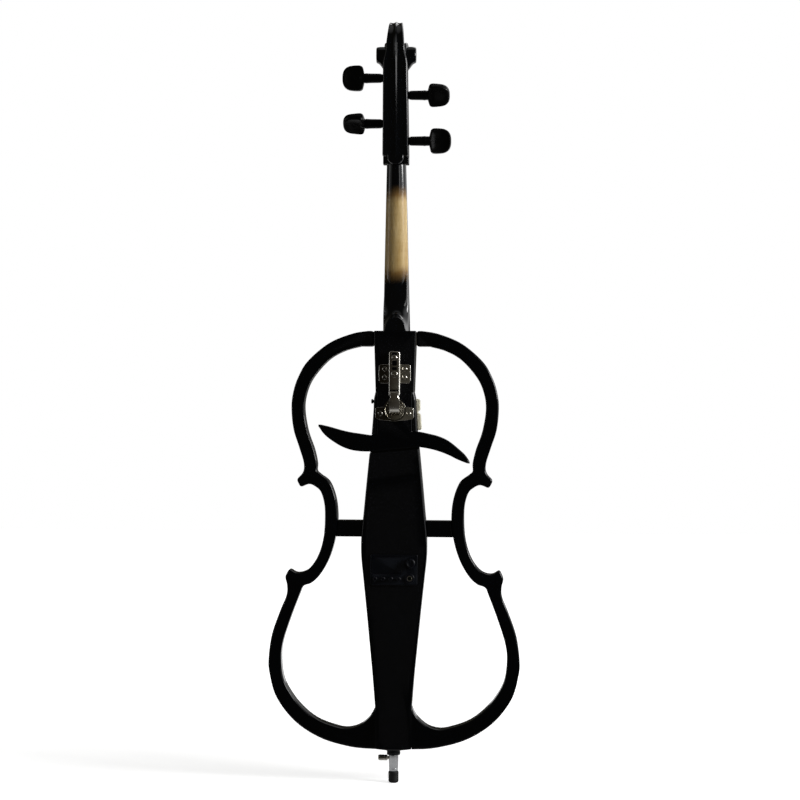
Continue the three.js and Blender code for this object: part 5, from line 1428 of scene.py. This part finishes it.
tuner_profile = [(0.6, 3.2), (1.3, 3.5)]
place = 3.6
while place < 13.6:
    tuner_profile += [(1.3, place), (1.6, place + 0.3)]
    place += 0.6
tuner_profile += [
    (1.6, 14.4), (3.6, 14.5), (4.2, 15.0), (4.4, 15.4), (4.4, 19.4), (4.1, 20.1), (3.3, 20.5), (1.2, 20.3),
]
for letter, (across, _) in STRINGS.items():
    x = across * TUNER_X
    dress(tilted(lever_piece(letter, x), TO_TAIL), f"tuner_lever_{letter}")
    screw = turned(f"fine_tuner_{letter}", tuner_profile, "y", (x, 0, SCREW_AT), 80, grip(20, 0.05, 4.35))
    dress(tilted(shade(screw, sharp=0.8), TO_TAIL), f"tuner_screw_{letter}")


def gut_path():
    """From inside the tailpiece, over the saddle and round the collar's neck, and back again."""
    loop, loop_z, off = 10.3, BOTTOM - 2.7, 1.5
    saddle_y = FRONT + FIT + 8

    def strand(side):
        turn_y, turn_z = saddle_y - 3 + off / 2, BOTTOM - off
        return [
            from_tail(side * 9, 0, TAIL_LOW + 14), from_tail(side * 9, 0, TAIL_LOW - 4),
            (side * 9, TAIL_ORIGIN_Y, BOTTOM + 5), (side * 9, TAIL_ORIGIN_Y, BOTTOM + 3 - off / 2),
            (side * loop, turn_y, turn_z), (side * loop, FRONT - 1.2, loop_z),
        ]

    arc = [(loop * math.cos(a), -loop * math.sin(a), loop_z) for a in half_turn(40)]
    return strand(1) + arc + strand(-1)[::-1]


dress(shade(tube("tail_gut_cord", gut_path(), 1.2, 16), sharp=1.2), "tail_gut")

saddle_outline = [
    (FRONT + FIT, BOTTOM), (27.3, BOTTOM), (30.3, BOTTOM + 3), (30.3, BOTTOM + 7), (27.3, BOTTOM + 10),
    (FRONT + FIT, BOTTOM + 10),
]
dress(shade(plate("saddle_body", rounded(saddle_outline, 1.2), -18, 18, 0.9, 3, "yz")), "saddle")


# ---------------------------------------------------------------- endpin
collar = bored("collar_body", [
    (7.3, 47.6), (10.9, 47.6), (11.35, 47.8), (11.5, 48.2), (11.5, 49.3), (11.15, 49.6), (11.15, 50.0), (11.5, 50.3),
    (11.5, 52.2), (11.35, 52.6), (10.9, 52.8), (8.8, 52.8), (8.8, 56.7), (9, 57), (9, 110.7), (7.3, 110.7),
], steps=64)
dress(shade(collar, sharp=0.9), "endpin_collar")

THUMB_Z = 42.0
sleeve = bored("ferrule_body", [
    (5.5, 20.0), (7.1, 20.0), (7.4, 20.15), (7.55, 20.5), (7.66, 23.6), (7.4, 23.9), (7.4, 24.4), (7.7, 24.7),
    (8.15, 40), (8.15, 46.5), (8.0, 47.05), (7.7, 47.3), (7, 47.3), (7, 75.3), (5.5, 75.3),
], steps=72)
sleeve = cut(sleeve, disc("thumb_hole", 2.3, -12, 0, "x", (0, 0, THUMB_Z), 24))
dress(shade(sleeve, sharp=0.9), "endpin_ferrule")

thumb = turned("thumbscrew_body", [
    (0.4, -26.15), (3.4, -26.15), (4.2, -25.8), (4.7, -25.0), (5, -24.0), (5, -16.6), (4.6, -16.2), (4.6, -15.6),
    (5, -15.2), (5, -11.6), (4.6, -10.8), (3.6, -10.3), (3, -10.1), (3, -8.5), (2, -8.45), (2, -5.5), (1.6, -5.3),
], "x", (0, 0, THUMB_Z), 72, grip(18, 0.06, 4.9))
dress(shade(thumb, sharp=0.8), "endpin_thumbscrew")

# The rod, with a groove every 30 mm to set its length by
rod_profile = [(4.3, 7.3), (4.8, 7.5), (5, 8.1)]
for mark in range(90, 300, 30):
    rod_profile += [(5, mark - 0.5), (4.8, mark - 0.25), (4.8, mark + 0.25), (5, mark + 0.5)]
rod_profile += [(5, 324.3), (4.8, 324.8), (4.3, 325)]
dress(shade(turned("rod_body", rod_profile, steps=56), sharp=0.9), "endpin_rod")

foot_profile = [
    (0.3, 0), (5.6, 0), (7.2, 0.5), (8.2, 1.7), (8.6, 3.4), (8.65, 5.6), (8.3, 5.9), (8.3, 6.5), (8.65, 6.8),
    (8.65, 8.6), (8.3, 8.9), (8.3, 9.5), (8.65, 9.8), (8.65, 11.6), (8.3, 11.9), (8.3, 12.5), (8.65, 12.8),
    (8.65, 17.4), (8.45, 18.6), (7.8, 19.2), (6.9, 19.4), (5.3, 19.4), (5.3, 7.0), (0.3, 7.0),
]
dress(shade(turned("foot_body", foot_profile, steps=64), sharp=0.9), "endpin_foot")


# ---------------------------------------------------------------- folding rest's cup hinge
PLATE_BACK, ARM_BACK, ARM_LOW, ARM_HIGH = BACK - 2.8, BACK - 13.3, 655.195, 732.195
SLOT_Z, ADJUST_Z = 721.095, 693.095


def cross_cutter(x, z, high, low, reach):
    """A cutter for a cross recess that gets narrower from high to low."""
    half = reach * 0.24
    arm = [(half, half), (half, reach), (-half, reach), (-half, half)]
    outline = arm + [(-reach, half), (-reach, -half), (-half, -half), (-half, -reach), (half, -reach), (half, -half)]
    outline += [(reach, -half), (reach, half)]
    rings = [
        [(x + a * s, y, z + b * s) for a, b in outline] for y, s in ((high - 2, 1.0), (high, 1.0), (low, 0.55))
    ]
    return loft("cross", rings)


def screw_piece(name, x, z, seat, head, height, shank, length):
    """A round-headed screw with a cross recess: its head lies on seat, its shank runs to the front."""
    brim, crown = seat - FIT, seat - FIT - height
    side = brim - height * 0.4
    profile = [(shank, seat + length), (shank, brim), (head - 0.15, brim), (head, brim - 0.2), (head, side)]
    for angle in half_turn(16)[1:9]:
        profile.append((max(head * math.cos(angle), 0.05), side - height * 0.6 * math.sin(angle) ** 0.8))
    piece = turned(name, profile, "y", (x, 0, z))
    return shade(cut(piece, cross_cutter(x, z, crown, brim - height * 0.15, head * 0.62)), sharp=0.7)


def window(name, low, high, half, back, front):
    """A cutter for an opening stamped into the hinge's sheet metal."""
    return slab(name, rectangle(-half, half, low, high, 1.2), back, front)


def hinge_plate():
    wings = plate("wings", rectangle(-27.0, 27.0, 677.995, 709.995, 5.5, 8), PLATE_BACK, BACK - FIT, 0.9, 4)
    rail = box("rail", (-7.2, BACK - 9.8, 672.995), (7.2, BACK - FIT, 725.995), 1.0)
    sink = [(5.2, PLATE_BACK - 0.6), (4.4, PLATE_BACK + 0.2), (2.3, PLATE_BACK + 1.6), (2.3, BACK + 4)]
    cutters = [
        turned("sink", sink, "y", (x, 0, BLOCK_LOW + up), 32)
        for x in (-WING_SCREW_X, WING_SCREW_X) for up in WING_SCREW_UP.values()
    ]
    cutters += [disc("tapped", 2.3, BACK - 14, BACK - 2.8, "y", (0, 0, z), 24) for z in (SLOT_Z, ADJUST_Z)]
    for low, high in ((707.8, 716.2), (700.4, 705.2)):
        cutters.append(window("rail_window", low, high, 4.0, BACK - 14, BACK + 4))
    return cut(join(wings, rail), *cutters)


dress(shade(hinge_plate(), sharp=0.5, bevel=0.25), "hinge_mounting_plate")

for side, across in ((-1, "left"), (1, "right")):
    for row, up in WING_SCREW_UP.items():
        screw = screw_piece(
            f"wing_screw_{row}_{across}", side * WING_SCREW_X, BLOCK_LOW + up, PLATE_BACK,
            head=4.0, height=2.2, shank=2.0, length=16.5,
        )
        dress(screw, f"plate_screw_{row}_{across}")
    screw = screw_piece(
        f"flange_screw_{across}", side * CUP_SCREW_X, CUP_SCREW_Z, BACK - 1.8,
        head=3.8, height=1.8, shank=1.6, length=14.5,
    )
    dress(screw, f"cup_screw_{across}")
for name, z, head, node in (
    ("arm_clamp_screw", SLOT_Z, 4.6, "clamp_screw"), ("arm_adjusting_screw", ADJUST_Z, 5.6, "adjusting_screw"),
):
    dress(screw_piece(name, 0, z, ARM_BACK, head, height=2.2, shank=2.0, length=10.2), node)


def hinge_arm():
    body = plate("arm_body", rectangle(-9.5, 9.5, ARM_LOW, ARM_HIGH, 4.0, 8), ARM_BACK, PLATE_BACK - FIT, 2.3, 6)
    return cut(
        body,
        box("channel", (-7.5, ARM_BACK + 2, ARM_LOW - 4), (7.5, BACK + 2, ARM_HIGH - 2), 0.8),
        box("mouth", (-7.5, ARM_BACK - 4, ARM_LOW - 4), (7.5, BACK + 2, PIVOT_Z + 6.4), 0.8),
        disc("pivot_hole", 1.9, -14, 14, "x", (0, PIVOT_Y, PIVOT_Z), 24),
        window("clamp_window", 707.6, 729.6, 4.2, ARM_BACK - 4, ARM_BACK + 4),
        window("small_window", 700.2, 705.4, 4.2, ARM_BACK - 4, ARM_BACK + 4),
        disc("adjust_hole", 2.6, ARM_BACK - 4, ARM_BACK + 4, "y", (0, 0, ADJUST_Z), 32),
    )


dress(shade(hinge_arm(), sharp=0.5, bevel=0.4, segments=3), "hinge_arm")


def strap_piece(name):
    """The curved strap from the pivot into the cup: wide in the middle, tapered in the cup."""
    path = spline([
        (-30.0, 664.6), (-33.2, 661.6), (-34.0, 655), (-33.9, 647), (-31.6, 638.5), (-26.5, 631.5), (-19.5, 627.2),
        (-13.4, 625.4),
    ], 6)
    top = [(1, 0.45), (0.97, 0.8), (0.9, 1)]
    section = top + flipped(top)
    section += [(-a, -b) for a, b in section]
    rings = []
    for i, (y, z) in enumerate(path):
        before, after = path[max(i - 1, 0)], path[min(i + 1, len(path) - 1)]
        way = Vector((after[0] - before[0], after[1] - before[1])).normalized()
        share = i / (len(path) - 1)
        half = mix(6.8, 8.8, smooth_step(656, 650, z)) * (1 - 0.5 * max(0.0, (share - 0.78) / 0.22) ** 2.2)
        thick = mix(1.4, 1.9, min(1.0, share * 2))
        rings.append([(half * a, y - way.y * thick * b, z + way.x * thick * b) for a, b in section])
    return loft(name, rings)


link_parts = (
    strap_piece("link_body"),
    disc("hub", 4.0, -6.8, 6.8, "x", (0, PIVOT_Y, PIVOT_Z), 40, 0.5),
    disc("pin", 1.6, -9.9, 9.9, "x", (0, PIVOT_Y, PIVOT_Z), 24, 0.3),
    box("foot", (-5.6, -15.5, 624.3), (5.6, -11.1, 631.2), 1.0),
)
dress(merge(*[shade(part) for part in link_parts]), "hinge_link")


def cup_flange():
    low, high = 613.995, 637.995
    right = [(22, low + 2.0), (30.5, low + 4.0), (32.5, low + 6.0), (32.5, high - 2.8), (30.6, high - 0.6), (22, high)]
    flange = plate("flange", rounded([(0, low)] + right + flipped(right), 2.2, 0.2, 5), BACK - 1.8, BACK - FIT, 0.7, 3)
    sink = [(4.9, BACK - 2.4), (4.2, BACK - 1.7), (2.0, BACK - 0.6), (2.0, BACK + 4)]
    return cut(
        flange,
        disc("cup_mouth", 17.0, BACK - 6, BACK + 6, "y", (0, 0, CUP_Z), 64),
        *[turned("ear_sink", sink, "y", (x, 0, CUP_SCREW_Z), 32) for x in (-CUP_SCREW_X, CUP_SCREW_X)],
    )


cup_shell = turned("cup_body", [
    (0.3, -10.8), (14.9, -10.8), (15.9, -11.2), (16.3, -12.2), (16.3, -23.1), (16.6, -23.6), (17.1, -23.8),
    (18.6, -23.8), (19.1, -23.6), (19.3, -23.1), (19.3, -22.7), (18.9, -22.35), (17.5, -22.3), (17.5, -10.8),
    (17.1, -9.9), (16.1, -9.6), (0.3, -9.6),
], "y", (0, 0, CUP_Z), 72)
dress(merge(shade(cup_shell), shade(cup_flange())), "hinge_cup")


# ---------------------------------------------------------------- control panel
PANEL_BACK, PANEL_FRONT = BACK - 3.3, BACK - FIT
KNOB_X, KNOB_Z, JACK_X, JACK_Z, TONE_Z = 28.0, 375.0, 27.0, 349.0, 348.0
TONE_X = [-31.7, -18.4, -5.1, 8.2]
DOOR_LEFT, DOOR_RIGHT, DOOR_LOW, DOOR_HIGH = -37.5, 13.5, 356.5, 384.5
DOOR_AXIS_X, DOOR_AXIS_Y = -36.3, -24.1


def through_panel(name, radius, x, z, steps):
    return disc(name, radius, PANEL_BACK - 4, PANEL_FRONT + 4, "y", (x, 0, z), steps)


def panel_piece():
    outline = rectangle(-PANEL_HALF, PANEL_HALF, PANEL_LOW, PANEL_HIGH, 3.0)
    opening = rectangle(DOOR_LEFT - FIT, DOOR_RIGHT + FIT, DOOR_LOW - FIT, DOOR_HIGH + FIT, 1.2)
    divider = rectangle(16.6, 17.5, PANEL_LOW + 3, PANEL_HIGH - 3, 0.3, 3)
    groove = [
        (9.2, PANEL_BACK - 3), (9.8, PANEL_BACK - 3), (9.8, PANEL_BACK + 0.5), (9.2, PANEL_BACK + 0.5),
    ]
    return cut(
        plate("panel_body", outline, PANEL_BACK, PANEL_FRONT, 0.9),
        slab("door_hole", opening, PANEL_BACK - 4, PANEL_FRONT + 4),
        disc("pin_hole", 1.1, DOOR_LOW - 1.9, DOOR_HIGH + 1.9, "z", (DOOR_AXIS_X, DOOR_AXIS_Y, 0), 16),
        through_panel("knob_hole", 3.3, KNOB_X, KNOB_Z, 32),
        through_panel("jack_hole", 5.0, JACK_X, JACK_Z, 32),
        slab("divider", divider, PANEL_BACK - 4, PANEL_BACK + 0.7),
        bored("knob_ring", groove, "y", (KNOB_X, 0, KNOB_Z), 56),
        *[through_panel("tone_hole", 1.8, x, TONE_Z, 20) for x in TONE_X],
    )


dress(shade(panel_piece(), sharp=0.5, bevel=0.2), "control_panel")


def door_piece():
    outline = rectangle(DOOR_AXIS_X, DOOR_RIGHT, DOOR_LOW, DOOR_HIGH, 1.0)
    axis = (DOOR_AXIS_X, DOOR_AXIS_Y, 0)
    middle = (DOOR_LOW + DOOR_HIGH) / 2
    body = join(
        plate("door_body", outline, PANEL_BACK, PANEL_BACK + 2.4, 0.5),
        disc("barrel", 1.2, DOOR_LOW, DOOR_HIGH, "z", axis, 32, 0.2),
        disc("pins", 0.8, DOOR_LOW - 1.6, DOOR_HIGH + 1.6, "z", axis, 20, 0.2),
    )
    grips = [rectangle(x, x + 0.9, middle - 7, middle + 7, 0.4, 3) for x in (5.6, 7.8, 10.0)]
    return cut(body, *[slab("groove", grip_line, PANEL_BACK - 2, PANEL_BACK + 0.5) for grip_line in grips])


dress(shade(door_piece(), sharp=0.5, bevel=0.15), "battery_door")


def knob_piece(name, x, z, radius, height, shaft, skirt, ribs):
    base = PANEL_BACK - FIT
    face = base - height
    profile = [
        (shaft, BACK + 5.8), (shaft, base), (radius - 0.5, base), (radius, base - 0.4), (radius, base - 1.4),
        (radius - 0.35, base - 1.7), (radius - 0.35, face + skirt + 0.2), (radius - 0.6, face + skirt * 0.5),
        (radius - skirt, face + 0.1), (radius - skirt - 0.5, face), (radius * 0.62, face), (radius * 0.56, face + 0.35),
        (radius * 0.2, face + 0.45), (0.1, face + 0.45),
    ]

    def ribbed(angle, reach, along):
        on_side = face + skirt * 0.4 < along < base - 1.5 and reach > radius - 0.7
        return 1 - (0.045 * (1 + math.cos(ribs * angle)) / 2 if on_side else 0)

    body = turned(name + "_turned", profile, "y", (x, 0, z), ribs * 6, ribbed)
    low = (x - radius * 0.07, face - 0.15, z + radius * 0.28)
    high = (x + radius * 0.07, face + 1.0, z + radius * 0.8)
    return merge(shade(body, sharp=0.7), shade(box("pointer", low, high, 0.12, 2)))


volume = knob_piece("volume_control", KNOB_X, KNOB_Z, radius=8.0, height=9.0, shaft=3.0, skirt=1.2, ribs=24)
dress(volume, "volume_knob")
for k, x in enumerate(TONE_X, 1):
    tone = knob_piece(f"tone_control_{k}", x, TONE_Z, radius=3.5, height=5.0, shaft=1.5, skirt=0.8, ribs=12)
    dress(tone, f"tone_knob_{k}")

jack_at, jack_face = (JACK_X, 0, JACK_Z), PANEL_BACK - FIT - 2.4
jack_nut = bored("jack_nut", [
    (4.9, jack_face + 0.5), (5.2, jack_face), (7.1, jack_face), (7.7, jack_face + 0.3), (8.0, jack_face + 0.9),
    (8.0, PANEL_BACK - FIT), (4.9, PANEL_BACK - FIT),
], "y", jack_at, 64)
dress(shade(jack_nut, sharp=0.8), body="root", slot="black_plastic")
jack_sleeve = bored("jack_sleeve", [
    (3.3, jack_face + 0.5), (3.6, jack_face + 0.15), (4.4, jack_face + 0.15), (4.7, jack_face + 0.5),
    (4.7, PANEL_FRONT + 0.3), (6.5, PANEL_FRONT + 0.3), (6.5, BACK + 17.0), (3.3, BACK + 17.0),
], "y", jack_at, 56)
dress(shade(jack_sleeve, sharp=0.8), "output_jack")


# ---------------------------------------------------------------- packing block and flank button
def packing_piece():
    low, high, notch = 599.0, 651.995, 630.995
    # Height and distance from the spine's flank, round its two lobes
    outline = [(mix(low, high, k / 8), 0.1) for k in range(8, -1, -1)]
    outline += [
        (low, 4.0), (low + 1.2, 6.3), (low + 3.2, 7.0), (notch - 6.4, 7.0), (notch - 4.2, 6.2), (notch - 2.8, 3.4),
        (notch - 1.5, 2.6), (notch - 0.2, 3.4), (notch + 1.4, 6.2), (notch + 3.6, 7.0), (high - 3.2, 7.0),
        (high - 1.2, 6.3), (high, 4.0),
    ]
    outline = [(read(spine_curve, z) + reach, z) for z, reach in outline]
    return plate("packing_body", rounded(outline, 1.2), -10, 10, 1.6, 5)


dress(shade(packing_piece()), "packing_block")

BUTTON_Z = 647.495
seat = -read(spine_curve, BUTTON_Z) - FIT
button = turned("flank_button_body", [
    (2.2, seat + 0.05), (2.6, seat - 1.0), (2.7, seat - 2.0), (3.6, seat - 2.4), (4.0, seat - 3.0), (4.0, seat - 3.8),
    (3.6, seat - 4.6), (2.4, seat - 5.0), (0.3, seat - 5.0),
], "x", (0, 0, BUTTON_Z))
dress(shade(button), "flank_button")


# ---------------------------------------------------------------- finish
def plain_nodes():
    """Nodes of the frame that keep their own mesh: painted, with softened edges."""
    for name, node in frame["nodes"].items():
        if name in replaced:
            continue
        node.data.materials.clear()
        node.data.materials.append(PAINTS[SLOT_OF[name]])
        round_off(node, 0.4, 2, 0.6)
        weigh_normals(node)


plain_nodes()
